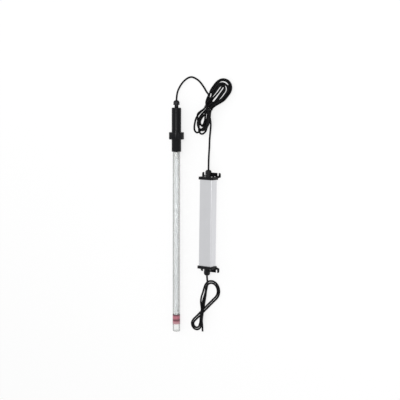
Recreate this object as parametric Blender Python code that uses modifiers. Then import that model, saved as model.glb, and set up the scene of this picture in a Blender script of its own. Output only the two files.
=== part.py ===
"""Immersion ultraviolet clarifier lamp with its external ballast, laid out on a table.

A quartz sleeve with a slim ultraviolet lamp hangs from a plastic head. A cord runs from the head through a
tied hank to the ballast, an aluminium extrusion with two end caps, and a second cord leaves the ballast in
a loose figure of eight. Metres, +Z up. The origin is on the table under the middle of lamp and ballast, and
the lamp lies along Y with its head toward +Y.
"""

import math

import bmesh
import bpy
from mathutils import Matrix, Vector

# Clearances
FIT = 0.0003                 # between pieces that touch
RUN = 0.0004                 # round a thread or a ring that slides

# Quartz sleeve and its socket
SLEEVE_D = 0.025
SLEEVE_WALL = 0.0015
SLEEVE_SHOWN = 0.612         # clear length below the socket
SLEEVE_ROUND = 0.003
SOCKET_WALL = 0.0032
SOCKET_SHOWN = 0.041         # socket below the union nut
SOCKET_FLANGE = 0.004
SEAT_DEPTH = 0.0035
SEAT_LAP = 0.0012            # ledge that stops the sleeve's open end
LEDGE = 0.002
SEAL_D = 0.004               # section of the sleeve's O-ring
SOCKET_CHAMFER = 0.0008

# Union nut
NUT_LENGTH = 0.024
NUT_LIP = 0.004
NUT_WALL = 0.0027
NUT_RIB = 0.0018
NUT_RIBS = 12
NUT_RIB_TOP = 0.48           # share of the pitch that a rib takes at its top
NUT_RIB_FOOT = 0.72
NUT_CHAMFER = 0.0008
SLIP_RING = 0.002
COLLAR_WALL = 0.003          # threaded collar round the O-ring

# Head
HEAD_SHOWN = 0.082           # head above the union nut
HEAD_WALL = 0.003
HEAD_TOP = 0.005
HEAD_ROUND = 0.003
HOLDER_D = 0.0254
HOLDER_LENGTH = 0.018

# Ultraviolet lamp
LAMP_D = 0.016
LAMP_GLASS = 0.0008
LAMP_CUP_WALL = 0.0012
LAMP_CUP = 0.010             # cup of the base that takes the glass
LAMP_BASE_SHOWN = 0.020      # base below the socket
LAMP_CAP = 0.018
LAMP_CAP_CUP = 0.012
LAMP_TIP_GAP = 0.036         # from the lamp's end to the inside of the sleeve's tip
PIN_D = 0.0024
PIN_LENGTH = 0.010
PIN_CIRCLE_D = 0.010
RETURN_WIRE_D = 0.0008
FILAMENT_D = 0.0009
FILAMENT_WIDTH = 0.007
FILAMENT_DEPTH = 0.020
SPACER_LENGTH = 0.016
LAMP_CHAMFER = 0.0008        # of base and end cap

# Cable glands
CORD_D = 0.0062
GLAND_SEAL_WALL = 0.0012
GLAND_SEAL = 0.008
GLAND_SEAL_PROUD = 0.0008
GLAND_STEM_WALL = 0.0011
GLAND_STEM_BORE = 0.0006     # round the cord inside the stem
GLAND_THREAD = 0.0065
GLAND_NUT = 0.0155
GLAND_NUT_BORE = 0.0082
GLAND_NUT_HEX = 0.0186
GLAND_NUT_SKIRT = 0.0068
GLAND_NUT_TIP_WALL = 0.0014
GLAND_NUT_SWELL = 0.8        # how soon the dome widens from its tip
GLAND_NUT_FALL = 1.35        # how soon it comes down
GLAND_NUT_DOME = 5
GLAND_NECK_D = 0.0132        # round neck of the head's gland
GLAND_NECK = 0.0085
GLAND_HEX = 0.017            # hexagon of the ballast's glands
GLAND_HEX_HEIGHT = 0.007
LOCKNUT = 0.004
LOCKNUT_HEX = 0.017
STEM_PAST_LOCKNUT = 0.0012
CORD_PAST_STEM = 0.003

# Ballast case
CASE_W = 0.050
CASE_H = 0.030
CASE_LENGTH = 0.293
CASE_WALL = 0.0022
CASE_ROUND = 0.004
BOSS = 0.0065
SLOT_RIB = 0.0012
SLOT_RIB_DEPTH = 0.002

# End caps with wall flanges
GASKET = 0.001
CAP_OVERHANG = 0.004
CAP_PLATE = 0.005
CAP_RIM = 0.003
CAP_ROUND = 0.006
CAP_EDGE = 0.001
FLANGE_W = 0.074
FLANGE = 0.003
FLANGE_PROUD = 0.0004        # flange's back below the cap
FLANGE_REACH = 0.013
FLANGE_TAPER = 0.010
FLANGE_ROUND = 0.0045
SLOT_W = 0.006
SLOT_DEPTH = 0.010
SLOT_SPAN = 0.053
SCREW_D = 0.0027
SCREW_LENGTH = 0.014
SCREW_HEAD_D = 0.0056
SCREW_HEAD = 0.002
SCREW_FLAT = 0.7             # share of the head that is flat

# Circuit board and what stands on it
BOARD = 0.0016
BOARD_SHORT = 0.020          # board end to case end
WIRE_D = 0.0018
LOOM_GATHER = 0.0018
LOOM_SHEATH = 0.25           # share of a loom inside the sheath

# Parts on the board: IN is the gap along it to what stands before, SIDE to its edge, LID to the case above
MAINS_TERMINAL_W = 0.024
LAMP_TERMINAL_W = 0.028
TERMINAL_H = 0.010
TERMINAL_LENGTH = 0.010
TERMINAL_IN = 0.003          # from the board's end
TERMINAL_EDGE = 0.0006
CLAMP_PITCH = 0.006
MAINS_WIRES = 3
LAMP_WIRES = 4
FUSE_D = 0.006
FUSE_LENGTH = 0.020
FUSE_IN = 0.007
FUSE_SIDE = 0.0075
FUSE_EDGE = 0.0012
CHOKE_W = 0.026
CHOKE_LENGTH = 0.022
CHOKE_IN = 0.007
CHOKE_LID = 0.0029
CHOKE_EDGE = 0.001
CHOKE_NOTCH = 0.0045
CHOKE_NOTCH_W = 0.014
CAN_LENGTH = 0.025
CAN_IN = 0.013
CAN_SIDE = 0.0115
CAN_LID = 0.0029
CAN_EDGE = 0.001
CAN_GROOVE = 0.0008
CAN_GROOVE_HALF = 0.001
CAN_GROOVE_IN = 0.003
FILM_W = 0.013
FILM_LENGTH = 0.006
FILM_IN = 0.018
FILM_GAP = 0.006
FILM_SIDE = 0.008
FILM_LID = 0.0049
FILM_EDGE = 0.0012
INDUCTOR_W = 0.024
INDUCTOR_LENGTH = 0.024
INDUCTOR_IN = 0.015
INDUCTOR_LID = 0.0019
INDUCTOR_EDGE = 0.0015
SPREADER_W = 0.030
SPREADER = 0.003
SPREADER_IN = 0.0155
SPREADER_LID = 0.0039
SPREADER_EDGE = 0.0004
TRANSISTOR_W = 0.010
TRANSISTOR_H = 0.0085
TRANSISTOR_UP = 0.00325      # off the board
TRANSISTOR_PROUD = 0.00325   # off the spreader's face
TRANSISTOR_SUNK = 0.00125
TRANSISTOR_SPAN = 0.018

# Layout on the table
SPACING = 0.12846            # between the axes of lamp and ballast
STAGGER = 0.226              # from the head's gland tip back to the ballast's lamp side gland tip
REST = 0.00005               # keeps facets off the table

# Cords: points are offsets from a gland's tip on the table, heights from the table
ARCH_POINTS = (
    (0.0003, 0.0245, 0.0238),
    (0.0038, 0.0437, 0.0160),
    (0.0122, 0.0608, 0.0083),
    (0.0258, 0.0730, 0.0038),
    (0.0425, 0.0778, 0.0031),
    (0.0593, 0.0734, 0.0031),
    (0.0766, 0.0630, 0.0031),
    (0.0935, 0.0451, 0.0031),
    (0.1046, 0.0302, 0.0031),
    (0.1138, 0.0192, 0.0031),
)
DROP_POINTS = (
    (0.1350, -0.0400, 0.0322),
    (0.1375, -0.0570, 0.0270),
    (0.1335, -0.0755, 0.0172),
    (0.1266, -0.0940, 0.0083),
    (0.1217, -0.1120, 0.0038),
    (0.1199, -0.1300, 0.0031),
    (0.1203, -0.1500, 0.0043),
    (0.1226, -0.1720, 0.0092),
    (0.1264, -0.1950, 0.0160),
)
LEAD_POINTS = (
    (-0.0006, -0.0110, 0.0170),
    (-0.0024, -0.0230, 0.0122),
    (-0.0045, -0.0370, 0.0103),
)
BUNDLE_POINTS = (
    (-0.0094, -0.0670),
    (-0.0124, -0.0860),
    (-0.0156, -0.1060),
    (-0.0188, -0.1270),
    (-0.0222, -0.1480),
)
DIAGONAL_POINTS = (
    (-0.0590, -0.1477),
    (-0.0485, -0.1372),
    (-0.0335, -0.1222),
    (-0.0165, -0.1052),
    (0.0000, -0.0887),
    (0.0120, -0.0767),
)
TAIL_POINTS = (
    (-0.0245, -0.0600, 0.0055),
    (-0.0258, -0.0755, 0.0125),
    (-0.0248, -0.0920, 0.0172),
    (-0.0215, -0.1120, 0.0176),
    (-0.0200, -0.1310, 0.0175),
    (-0.0202, -0.1500, 0.0168),
    (-0.0210, -0.1715, 0.0118),
    (-0.0217, -0.1930, 0.0090),
)

# Hank of the lamp's cord
HANK_LOOPS = 6
HANK_LAYERS = 4
HANK_START = 7               # tube point past the first upper fold
HANK_END = 196
HANK_WAIST = (0.1225, -0.0220)
HANK_TURN = math.radians(33.5)
HANK_BEND = 0.13
HANK_WAIST_HALF = 0.0117
HANK_WAIST_STEP = 0.0080
HANK_FOLDS = (               # reach from the waist, half width, middle across and belly of each fold in turn
    (0.1140, 0.0305, 0.0000, 0.0000),
    (0.0840, 0.0200, -0.0030, 0.0020),
    (0.1065, 0.0268, -0.0046, 0.0000),
    (0.0700, 0.0120, -0.0030, 0.0000),
    (0.0995, 0.0128, 0.0078, 0.0000),
    (0.0800, 0.0174, 0.0000, 0.0020),
    (0.1140, 0.0305, 0.0000, 0.0000),
    (0.0950, 0.0115, -0.0060, 0.0130),
    (0.0960, 0.0120, -0.0034, 0.0000),
    (0.0640, 0.0120, 0.0000, 0.0000),
    (0.0950, 0.0128, 0.0052, 0.0000),
    (0.0850, 0.0115, 0.0170, 0.0130),
    (0.1040, 0.0216, 0.0060, 0.0000),
)
HANK_LOBE_UP = 1.8           # how soon an upper lobe is at its full width
HANK_LOBE_DOWN = 1.4
HANK_PITCH = 0.0068          # from layer to layer
HANK_LIFT = 0.0016           # lift at the waist, where the tie passes under
HANK_LIFT_REACH = 0.020
HANK_LEAN_UP = 0.15          # share of the reach where an upper fold starts to lean to its middle
HANK_LEAN_DOWN = 0.40
HANK_LEAN = 0.45
HANK_CLIMB = 0.2
HANK_WARP = 0.12             # brings the tube points closer at the waist
HANK_WAIST_BEND = 0.025      # length over which the waist bends
HANK_ENTRY = (0.0155, -0.0175, 0.0040)
HANK_OVER_POINTS = (
    (0.0560, -0.0190, 0.0262),
    (0.0400, -0.0170, 0.0298),
    (0.0270, -0.0125, 0.0330),
    (0.0130, -0.0050, 0.0340),
)
TIE_WIDTH = 0.003
TIE = 0.0008
TIE_SLACK = 0.0008
TIE_TURNS = (0.25, 0.75, 2.75, 5.75, 5.25, 3.25)
BELT_STEPS = 3

# Figure of eight of the mains cord
EIGHT_TURNS = 2
EIGHT_STEP = 0.0072
EIGHT_RISE = 0.0073          # bundle over the diagonals
EIGHT_UP = -0.0560           # where a strand starts to rise
EIGHT_DOWN = -0.1400         # where it starts to come down
EIGHT_RAMP = 0.0360
TOP_CENTRE = (0.0095, -0.0530)
TOP_RADII = (0.0175, 0.0195)
BOTTOM_CENTRE = (-0.0520, -0.1720)
BOTTOM_RADII = (0.0220, 0.0220)
TOP_BOW = (-45, 180)         # degrees of each loop's arc
BOTTOM_BOW = (-15, -225)
BOW_STEPS = 6
LOOP_POINTS = 32
EIGHT_LOOP_POINTS = 40
CORD_STEP = 2.4              # tube points every so many diameters

# Sizes that follow
CORD_R = CORD_D / 2
SLEEVE_R = SLEEVE_D / 2
SOCKET_R = SLEEVE_R + FIT + SOCKET_WALL
SEAL_POCKET_R = SLEEVE_R + FIT + SEAL_D + FIT
THREAD_R = SEAL_POCKET_R + COLLAR_WALL
NUT_ROOT_R = THREAD_R + RUN + NUT_WALL
NUT_R = NUT_ROOT_R + NUT_RIB
HOLDER_R = HOLDER_D / 2
HEAD_R = HOLDER_R + FIT + HEAD_WALL
LAMP_R = LAMP_D / 2
BASE_R = LAMP_R + FIT + LAMP_CUP_WALL
GLAND_SEAL_R = CORD_R + FIT + GLAND_SEAL_WALL
GLAND_STEM_R = GLAND_SEAL_R + FIT + GLAND_STEM_WALL
CAP_W = CASE_W + 2 * CAP_OVERHANG
CAP_H = CASE_H + 2 * CAP_OVERHANG
PORT_R = SCREW_D / 2 + FIT

# Stations along the lamp's axis, from the union nut's lower face toward the gland
SLIP_0 = NUT_LIP + FIT
SLIP_1 = SLIP_0 + SLIP_RING
FLANGE_0 = SLIP_1 + FIT
FLANGE_1 = FLANGE_0 + SOCKET_FLANGE
HEAD_0 = FLANGE_1 + FIT
SEAL_POCKET_1 = HEAD_0 + SEAL_D + FIT
SEAT_1 = SEAL_POCKET_1 + SEAT_DEPTH
LEDGE_1 = SEAT_1 + LEDGE
HOLDER_0 = LEDGE_1 + FIT
HOLDER_1 = HOLDER_0 + HOLDER_LENGTH
HEAD_1 = NUT_LENGTH + HEAD_SHOWN
SOCKET_0 = -SOCKET_SHOWN
SLEEVE_0 = SOCKET_0 - SLEEVE_SHOWN
SLEEVE_1 = SEAT_1 - FIT
BASE_0 = SOCKET_0 - LAMP_BASE_SHOWN
LAMP_0 = SLEEVE_0 + SLEEVE_WALL + LAMP_TIP_GAP
GLAND_TIP = GLAND_NUT + FIT
LAMP_END = HEAD_1 + GLAND_NECK + GLAND_TIP

# Stations outward from the ballast case's end
PLATE_0 = GASKET + 2 * FIT
PLATE_1 = PLATE_0 + CAP_PLATE
CAP_TIP = PLATE_1 + GLAND_HEX_HEIGHT + GLAND_TIP

# Lie of the lamp: it rests on the union nut and on the sleeve's tip
LIE_SPAN = NUT_CHAMFER - SLEEVE_0 - SLEEVE_ROUND
LIE = math.atan((NUT_R - SLEEVE_R) / LIE_SPAN)
LAMP_Z = NUT_R * math.cos(LIE) - NUT_CHAMFER * math.sin(LIE) + REST
LAMP_X = (NUT_R - FLANGE_W / 2 - SPACING) / 2
HEAD_TIP_Y = (LAMP_END - SLEEVE_0) * math.cos(LIE) / 2
LAMP_Y = HEAD_TIP_Y - LAMP_END * math.cos(LIE)
BALLAST_X = LAMP_X + SPACING
BALLAST_Z = CAP_H / 2
BALLAST_Y = HEAD_TIP_Y - STAGGER - CAP_TIP - CASE_LENGTH / 2

ROUND_STEPS = 24
SMALL_STEPS = 16
NUT_STEPS = 18
SCREW_STEPS = 8

FINISHES = {
    "quartz": ((0.86, 0.90, 0.90), 0.05, 0.0),
    "lamp_glass": ((0.93, 0.95, 0.96), 0.08, 0.0),
    "ceramic": ((0.86, 0.85, 0.82), 0.45, 0.0),
    "black_plastic": ((0.013, 0.013, 0.015), 0.38, 0.0),
    "black_rubber": ((0.012, 0.012, 0.013), 0.62, 0.0),
    "nickel": ((0.62, 0.60, 0.56), 0.30, 1.0),
    "aluminium": ((0.60, 0.60, 0.61), 0.42, 1.0),
    "steel": ((0.45, 0.45, 0.46), 0.32, 1.0),
    "circuit_green": ((0.02, 0.13, 0.05), 0.45, 0.0),
    "ferrite": ((0.05, 0.05, 0.05), 0.60, 0.0),
    "capacitor_blue": ((0.03, 0.05, 0.12), 0.40, 0.0),
    "film_red": ((0.35, 0.06, 0.03), 0.40, 0.0),
    "terminal_grey": ((0.25, 0.26, 0.27), 0.50, 0.0),
    "tie_black": ((0.015, 0.015, 0.016), 0.50, 0.0),
}


# Scene helpers

def new_scene():
    """Empty the scene and make the two collections."""
    for obj in list(bpy.data.objects):
        bpy.data.objects.remove(obj, do_unlink=True)
    for name in ("uv_clarifier_lamp", "cutters"):
        collection = bpy.data.collections.new(name)
        bpy.context.scene.collection.children.link(collection)


def finish(name):
    """The Principled material of that name, made on first use."""
    found = bpy.data.materials.get(name)
    if found:
        return found
    colour, roughness, metallic = FINISHES[name]
    made = bpy.data.materials.new(name)
    made.use_nodes = True
    shader = made.node_tree.nodes["Principled BSDF"]
    shader.inputs["Base Color"].default_value = (*colour, 1.0)
    shader.inputs["Roughness"].default_value = roughness
    shader.inputs["Metallic"].default_value = metallic
    return made


def add(name, data, parent=None, look=None):
    """Link a new object; without a look it is a cutter."""
    obj = bpy.data.objects.new(name, data)
    group = "uv_clarifier_lamp" if look else "cutters"
    bpy.data.collections[group].objects.link(obj)
    obj.parent = parent
    if look:
        data.materials.append(finish(look))
    else:
        obj.hide_render = True
        obj.display_type = "WIRE"
    return obj


def empty(name, place, turn=(0.0, 0.0, 0.0), parent=None):
    """A named frame that pieces are parented to."""
    obj = bpy.data.objects.new(name, None)
    bpy.data.collections["uv_clarifier_lamp"].objects.link(obj)
    obj.location = place
    obj.rotation_euler = turn
    obj.parent = parent
    return obj


def turned(name, profile, parent, look=None, steps=ROUND_STEPS, ring=True):
    """A profile of (radius, height) turned about Z; a ring's profile is closed."""
    mesh = bpy.data.meshes.new(name)
    count = len(profile)
    edges = [(i, i + 1) for i in range(count - 1)]
    if ring:
        edges.append((count - 1, 0))
    mesh.from_pydata([(r, 0.0, z) for r, z in profile], edges, [])
    obj = add(name, mesh, parent, look)
    screw = obj.modifiers.new("Screw", "SCREW")
    screw.steps = steps
    screw.render_steps = steps
    screw.use_merge_vertices = True
    screw.merge_threshold = 0.00001
    screw.use_smooth_shade = True
    return obj


def arc(centre_r, centre_z, radius, start, end, count):
    """Profile points along an arc, angles in degrees from the outward radius."""
    points = []
    for i in range(count + 1):
        angle = math.radians(start + (end - start) * i / count)
        points.append((centre_r + radius * math.cos(angle), centre_z + radius * math.sin(angle)))
    return points


def rounded(width, height, radius, count=4, centre=(0.0, 0.0)):
    """Outline of a rounded rectangle."""
    points = []
    across, up = width / 2 - radius, height / 2 - radius
    corners = ((across, up), (-across, up), (-across, -up), (across, -up))
    for quarter, (x, y) in enumerate(corners):
        points += arc(centre[0] + x, centre[1] + y, radius, 90 * quarter, 90 * quarter + 90, count)
    return points


def polygon(radius, sides, centre=(0.0, 0.0), turn=0.0):
    """Outline of a regular polygon, or of a round hole."""
    points = []
    for i in range(sides):
        angle = turn + 2 * math.pi * i / sides
        points.append((centre[0] + radius * math.cos(angle), centre[1] + radius * math.sin(angle)))
    return points


def hexagon(across_flats):
    """Outline of a hexagon of that width across its flats."""
    return polygon(across_flats / math.sqrt(3), 6)


def plate(name, outlines, low, high, parent, look=None, edge=0.0):
    """Flat outlines in XY, the first one outside, extruded from low to high along Z."""
    curve = bpy.data.curves.new(name + "_outline", "CURVE")
    curve.dimensions = "2D"
    curve.fill_mode = "BOTH"
    curve.extrude = (high - low) / 2 - edge
    curve.bevel_depth = edge
    curve.bevel_resolution = 0
    curve.offset = -edge
    for outline in outlines:
        spline = curve.splines.new("POLY")
        spline.points.add(len(outline) - 1)
        for point, (x, y) in zip(spline.points, outline):
            point.co = (x, y, 0.0, 1.0)
        spline.use_cyclic_u = True
    sketch = add(name + "_sketch", curve)
    mesh = solid_mesh(name, sketch)
    mesh.transform(Matrix.Translation((0.0, 0.0, (low + high) / 2)))
    bpy.data.objects.remove(sketch)
    return add(name, mesh, parent, look)


def solid_mesh(name, obj):
    """The evaluated shape of an object as one welded mesh."""
    bpy.context.view_layer.update()
    evaluated = obj.evaluated_get(bpy.context.evaluated_depsgraph_get())
    mesh = bpy.data.meshes.new_from_object(evaluated)
    mesh.name = name
    shape = bmesh.new()
    shape.from_mesh(mesh)
    bmesh.ops.remove_doubles(shape, verts=shape.verts, dist=0.000002)
    bmesh.ops.recalc_face_normals(shape, faces=shape.faces)
    shape.to_mesh(mesh)
    shape.free()
    return mesh


def block(name, size, place, parent, look=None, edge=0.0):
    """A box by its size and centre, with bevelled edges if wanted."""
    mesh = bpy.data.meshes.new(name)
    shape = bmesh.new()
    bmesh.ops.create_cube(shape, size=1.0, matrix=Matrix.Diagonal((*size, 1.0)))
    shape.to_mesh(mesh)
    shape.free()
    obj = add(name, mesh, parent, look)
    obj.location = place
    if edge:
        bevel = obj.modifiers.new("Bevel", "BEVEL")
        bevel.width = edge
        bevel.segments = 1
    return obj


def rods(name, diameter, low, high, places, parent, look=None, sides=10):
    """Parallel round rods along Z at the given places."""
    mesh = bpy.data.meshes.new(name)
    shape = bmesh.new()
    for x, y in places:
        bmesh.ops.create_cone(
            shape, cap_ends=True, segments=sides, radius1=diameter / 2, radius2=diameter / 2,
            depth=high - low, matrix=Matrix.Translation((x, y, (low + high) / 2)))
    shape.to_mesh(mesh)
    shape.free()
    return add(name, mesh, parent, look)


def combine(obj, other, operation="DIFFERENCE"):
    """Cut, keep or join with another object."""
    boolean = obj.modifiers.new("Boolean", "BOOLEAN")
    boolean.operation = operation
    boolean.solver = "EXACT"
    boolean.object = other
    return obj


def tubes(name, runs, diameter, parent, look, resolution=2):
    """Round tubes along runs of points."""
    curve = bpy.data.curves.new(name, "CURVE")
    curve.dimensions = "3D"
    curve.bevel_depth = diameter / 2
    curve.bevel_resolution = resolution
    curve.use_fill_caps = True
    for run in runs:
        spline = curve.splines.new("POLY")
        spline.points.add(len(run) - 1)
        for point, co in zip(spline.points, run):
            point.co = (*co, 1.0)
    return add(name, curve, parent, look)


def loom(name, starts, near, far, parent):
    """Single wires along Z that gather in a short sheath at the cord's end."""
    sheath = LOOM_SHEATH * (far - near)
    runs = []
    for i, (x, y) in enumerate(starts):
        angle = 2 * math.pi * i / len(starts)
        to_x, to_y = LOOM_GATHER * math.cos(angle), LOOM_GATHER * math.sin(angle)
        third = (far - near) / 3
        runs.append([(x, y, near), (x, y, near + third), (to_x, to_y, far - sheath),
                     (to_x, to_y, far - sheath / 2)])
    sketch = tubes(name + "_sketch", runs, WIRE_D, None, None, resolution=1)
    mesh = solid_mesh(name, sketch)
    bpy.data.objects.remove(sketch)
    obj = add(name, mesh, parent, "black_rubber")
    low, high = sorted((far - sheath, far))
    combine(obj, rods(name + "_sheath", CORD_D, low, high, [(0.0, 0.0)], parent), "UNION")


# Lamp

def lamp_frame():
    """Frame on the lamp's axis, at the union nut's lower face, +Z toward the gland, +Y down."""
    return empty("lamp_axis", (LAMP_X, LAMP_Y, LAMP_Z), (LIE - math.pi / 2, 0.0, 0.0))


def quartz_sleeve(axis):
    inner = SLEEVE_R - SLEEVE_WALL
    inner_round = max(SLEEVE_ROUND - SLEEVE_WALL, FIT)
    profile = [(SLEEVE_R, SLEEVE_1)]
    profile += arc(SLEEVE_R - SLEEVE_ROUND, SLEEVE_0 + SLEEVE_ROUND, SLEEVE_ROUND, 0, -90, 4)
    profile.append((0.0, SLEEVE_0))
    floor = SLEEVE_0 + SLEEVE_WALL
    profile.append((0.0, floor))
    profile += arc(inner - inner_round, floor + inner_round, inner_round, -90, 0, 3)
    profile.append((inner, SLEEVE_1))
    turned("quartz_sleeve", profile, axis, "quartz")


def uv_lamp(axis):
    """Glass tube with a ceramic base, an end cap, filaments and the return wire along its side."""
    cup = LAMP_R + FIT
    cup_0, cup_1 = BASE_0, BASE_0 + LAMP_CUP
    base_1 = LEDGE_1
    profile = [
        (0.0, base_1), (BASE_R - LAMP_CHAMFER, base_1), (BASE_R, base_1 - LAMP_CHAMFER),
        (BASE_R, cup_0), (cup, cup_0), (cup, cup_1), (0.0, cup_1),
    ]
    base = turned("uv_lamp_base", profile, axis, "ceramic", ring=False)
    half = PIN_CIRCLE_D / 2
    pins = [(half, 0.0), (0.0, half), (-half, 0.0), (0.0, -half)]
    contacts = rods("uv_lamp_pins", PIN_D, base_1 - PIN_LENGTH / 2, base_1 + PIN_LENGTH, pins, axis)
    combine(base, contacts, "UNION")
    cap_1 = LAMP_0 + LAMP_CAP
    cap_cup = cap_1 - LAMP_CAP_CUP
    profile = [
        (0.0, cap_cup), (cup, cap_cup), (cup, cap_1), (BASE_R, cap_1),
        (BASE_R, LAMP_0 + LAMP_CHAMFER), (BASE_R - LAMP_CHAMFER, LAMP_0), (0.0, LAMP_0),
    ]
    turned("uv_lamp_end_cap", profile, axis, "ceramic", ring=False)
    glass_0, glass_1 = cap_cup + FIT, cup_1 - FIT
    inner = LAMP_R - LAMP_GLASS
    profile = [(LAMP_R, glass_1), (LAMP_R, glass_0), (inner, glass_0), (inner, glass_1)]
    turned("uv_lamp_tube", profile, axis, "lamp_glass")
    beside = LAMP_R + FIT + RETURN_WIRE_D / 2
    wire = [(beside, 0.0, cup_0 - FIT), (beside, 0.0, cap_1 + FIT)]
    tubes("uv_lamp_return_wire", [wire], RETURN_WIRE_D, axis, "nickel")
    across = FILAMENT_WIDTH / 2
    for end, foot, way in (("upper", cup_1 - FIT, -1), ("lower", cap_cup + FIT, 1)):
        far = foot + way * FILAMENT_DEPTH
        staple = [(-across, 0.0, foot), (-across, 0.0, far), (across, 0.0, far), (across, 0.0, foot)]
        tubes("uv_lamp_filament_" + end, [staple], FILAMENT_D, axis, "nickel", resolution=1)
    spacer_0 = LAMP_0 + LAMP_CHAMFER
    spacer_in, spacer_out = BASE_R + FIT, SLEEVE_R - SLEEVE_WALL - FIT
    profile = [
        (spacer_out, spacer_0 + SPACER_LENGTH), (spacer_out, spacer_0),
        (spacer_in, spacer_0), (spacer_in, spacer_0 + SPACER_LENGTH),
    ]
    turned("sleeve_spacer", profile, axis, "ceramic")
    return pins


def socket_and_seal(axis):
    bore = SLEEVE_R + FIT
    profile = [
        (THREAD_R, FLANGE_1), (THREAD_R, FLANGE_0), (SOCKET_R, FLANGE_0),
        (SOCKET_R, SOCKET_0 + SOCKET_CHAMFER), (SOCKET_R - SOCKET_CHAMFER, SOCKET_0),
        (bore, SOCKET_0), (bore, FLANGE_1),
    ]
    turned("sleeve_socket", profile, axis, "black_plastic")
    seal = SEAL_D / 2
    centre = HEAD_0 + seal
    turned("sleeve_seal", arc(bore + seal, centre, seal, 90, -225, 7), axis, "black_rubber")


def union_nut(axis):
    """Slip ring, and the ribbed nut that turns on it; one rib faces the table."""
    ring_in = SOCKET_R + RUN
    profile = [(THREAD_R, SLIP_1), (THREAD_R, SLIP_0), (ring_in, SLIP_0), (ring_in, SLIP_1)]
    turned("slip_ring", profile, axis, "nickel")
    pitch = 2 * math.pi / NUT_RIBS
    foot, top = NUT_RIB_FOOT / 2, NUT_RIB_TOP / 2
    rib_shape = ((-foot, NUT_ROOT_R), (-top, NUT_R), (0.0, NUT_R), (top, NUT_R), (foot, NUT_ROOT_R))
    outline = []
    for rib in range(NUT_RIBS):
        for share, radius in rib_shape:
            angle = (rib + share) * pitch
            outline.append((radius * math.cos(angle), radius * math.sin(angle)))
    nut = plate("union_nut", [outline], 0.0, NUT_LENGTH, axis, "black_plastic", NUT_CHAMFER)
    bore = THREAD_R + RUN
    past = NUT_LENGTH
    profile = [
        (0.0, NUT_LENGTH + past), (bore, NUT_LENGTH + past), (bore, NUT_LIP),
        (ring_in, NUT_LIP), (ring_in, -past), (0.0, -past),
    ]
    combine(nut, turned("union_nut_bore", profile, axis, ring=False))


def head(axis, pins):
    """Housing with its threaded collar, the lamp holder and the wires to the cord."""
    thread_1 = NUT_LENGTH - FIT
    cavity = HOLDER_R + FIT
    hole = GLAND_STEM_R + FIT
    ledge = SLEEVE_R - SEAT_LAP
    ceiling = HEAD_1 - HEAD_TOP
    seat = SLEEVE_R + FIT
    profile = [(hole, HEAD_1)]
    profile += arc(HEAD_R - HEAD_ROUND, HEAD_1 - HEAD_ROUND, HEAD_ROUND, 90, 0, 4)
    profile += [
        (HEAD_R, thread_1), (THREAD_R, thread_1), (THREAD_R, HEAD_0), (SEAL_POCKET_R, HEAD_0),
        (SEAL_POCKET_R, SEAL_POCKET_1), (seat, SEAL_POCKET_1), (seat, SEAT_1), (ledge, SEAT_1),
        (ledge, LEDGE_1), (cavity, LEDGE_1), (cavity, ceiling), (hole, ceiling),
    ]
    turned("head_housing", profile, axis, "black_plastic")
    profile = [(0.0, HOLDER_1), (HOLDER_R, HOLDER_1), (HOLDER_R, HOLDER_0), (0.0, HOLDER_0)]
    holder = turned("lamp_holder", profile, axis, "ceramic", ring=False)
    pin_room = PIN_D + 2 * FIT
    pin_top = LEDGE_1 + FIT + PIN_LENGTH
    combine(holder, rods("lamp_holder_holes", pin_room, HOLDER_0 - LEDGE, pin_top, pins, axis))
    cord_end = cord_foot(HEAD_1, HEAD_TOP)
    loom("head_wires", pins, HOLDER_1 + FIT, cord_end - FIT, axis)


# Cable glands

def cord_foot(wall_face, wall):
    """Height of the cord's inner end, for a gland on a wall with that outer face."""
    return wall_face - wall - FIT - LOCKNUT - STEM_PAST_LOCKNUT - CORD_PAST_STEM


def gland(prefix, frame, wall, collar, hexed):
    """Body, seal, dome nut and locknut on a frame at the wall's outer face, +Z outward."""
    pocket = GLAND_SEAL_R + FIT
    bore = CORD_R + GLAND_STEM_BORE
    top = collar + GLAND_THREAD
    pocket_0 = top + GLAND_SEAL_PROUD - GLAND_SEAL - FIT
    stem_0 = -wall - FIT - LOCKNUT - STEM_PAST_LOCKNUT
    collar_r = GLAND_HEX / math.sqrt(3) + FIT if hexed else GLAND_NECK_D / 2
    profile = [
        (pocket, top), (GLAND_STEM_R, top), (GLAND_STEM_R, collar), (collar_r, collar),
        (collar_r, FIT), (GLAND_STEM_R, FIT), (GLAND_STEM_R, stem_0), (bore, stem_0),
        (bore, pocket_0), (pocket, pocket_0),
    ]
    body = turned(prefix + "_gland_body", profile, frame, "black_plastic", SMALL_STEPS)
    if hexed:
        flats = plate(prefix + "_gland_flats", [hexagon(GLAND_HEX)], stem_0 - wall, top + wall, frame)
        combine(body, flats, "INTERSECT")
    seal_0 = pocket_0 + FIT
    seal_in = CORD_R + FIT
    profile = [
        (GLAND_SEAL_R, seal_0 + GLAND_SEAL), (GLAND_SEAL_R, seal_0),
        (seal_in, seal_0), (seal_in, seal_0 + GLAND_SEAL),
    ]
    turned(prefix + "_gland_seal", profile, frame, "black_rubber", SMALL_STEPS)
    gland_nut(prefix, frame, collar + FIT)
    locknut = plate(prefix + "_gland_locknut", [hexagon(LOCKNUT_HEX)], -wall - FIT - LOCKNUT,
                    -wall - FIT, frame, "black_plastic")
    hole = GLAND_STEM_R + FIT
    profile = [(0.0, wall), (hole, wall), (hole, stem_0 - wall), (0.0, stem_0 - wall)]
    combine(locknut, turned(prefix + "_locknut_bore", profile, frame, None, SMALL_STEPS, ring=False))


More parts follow.
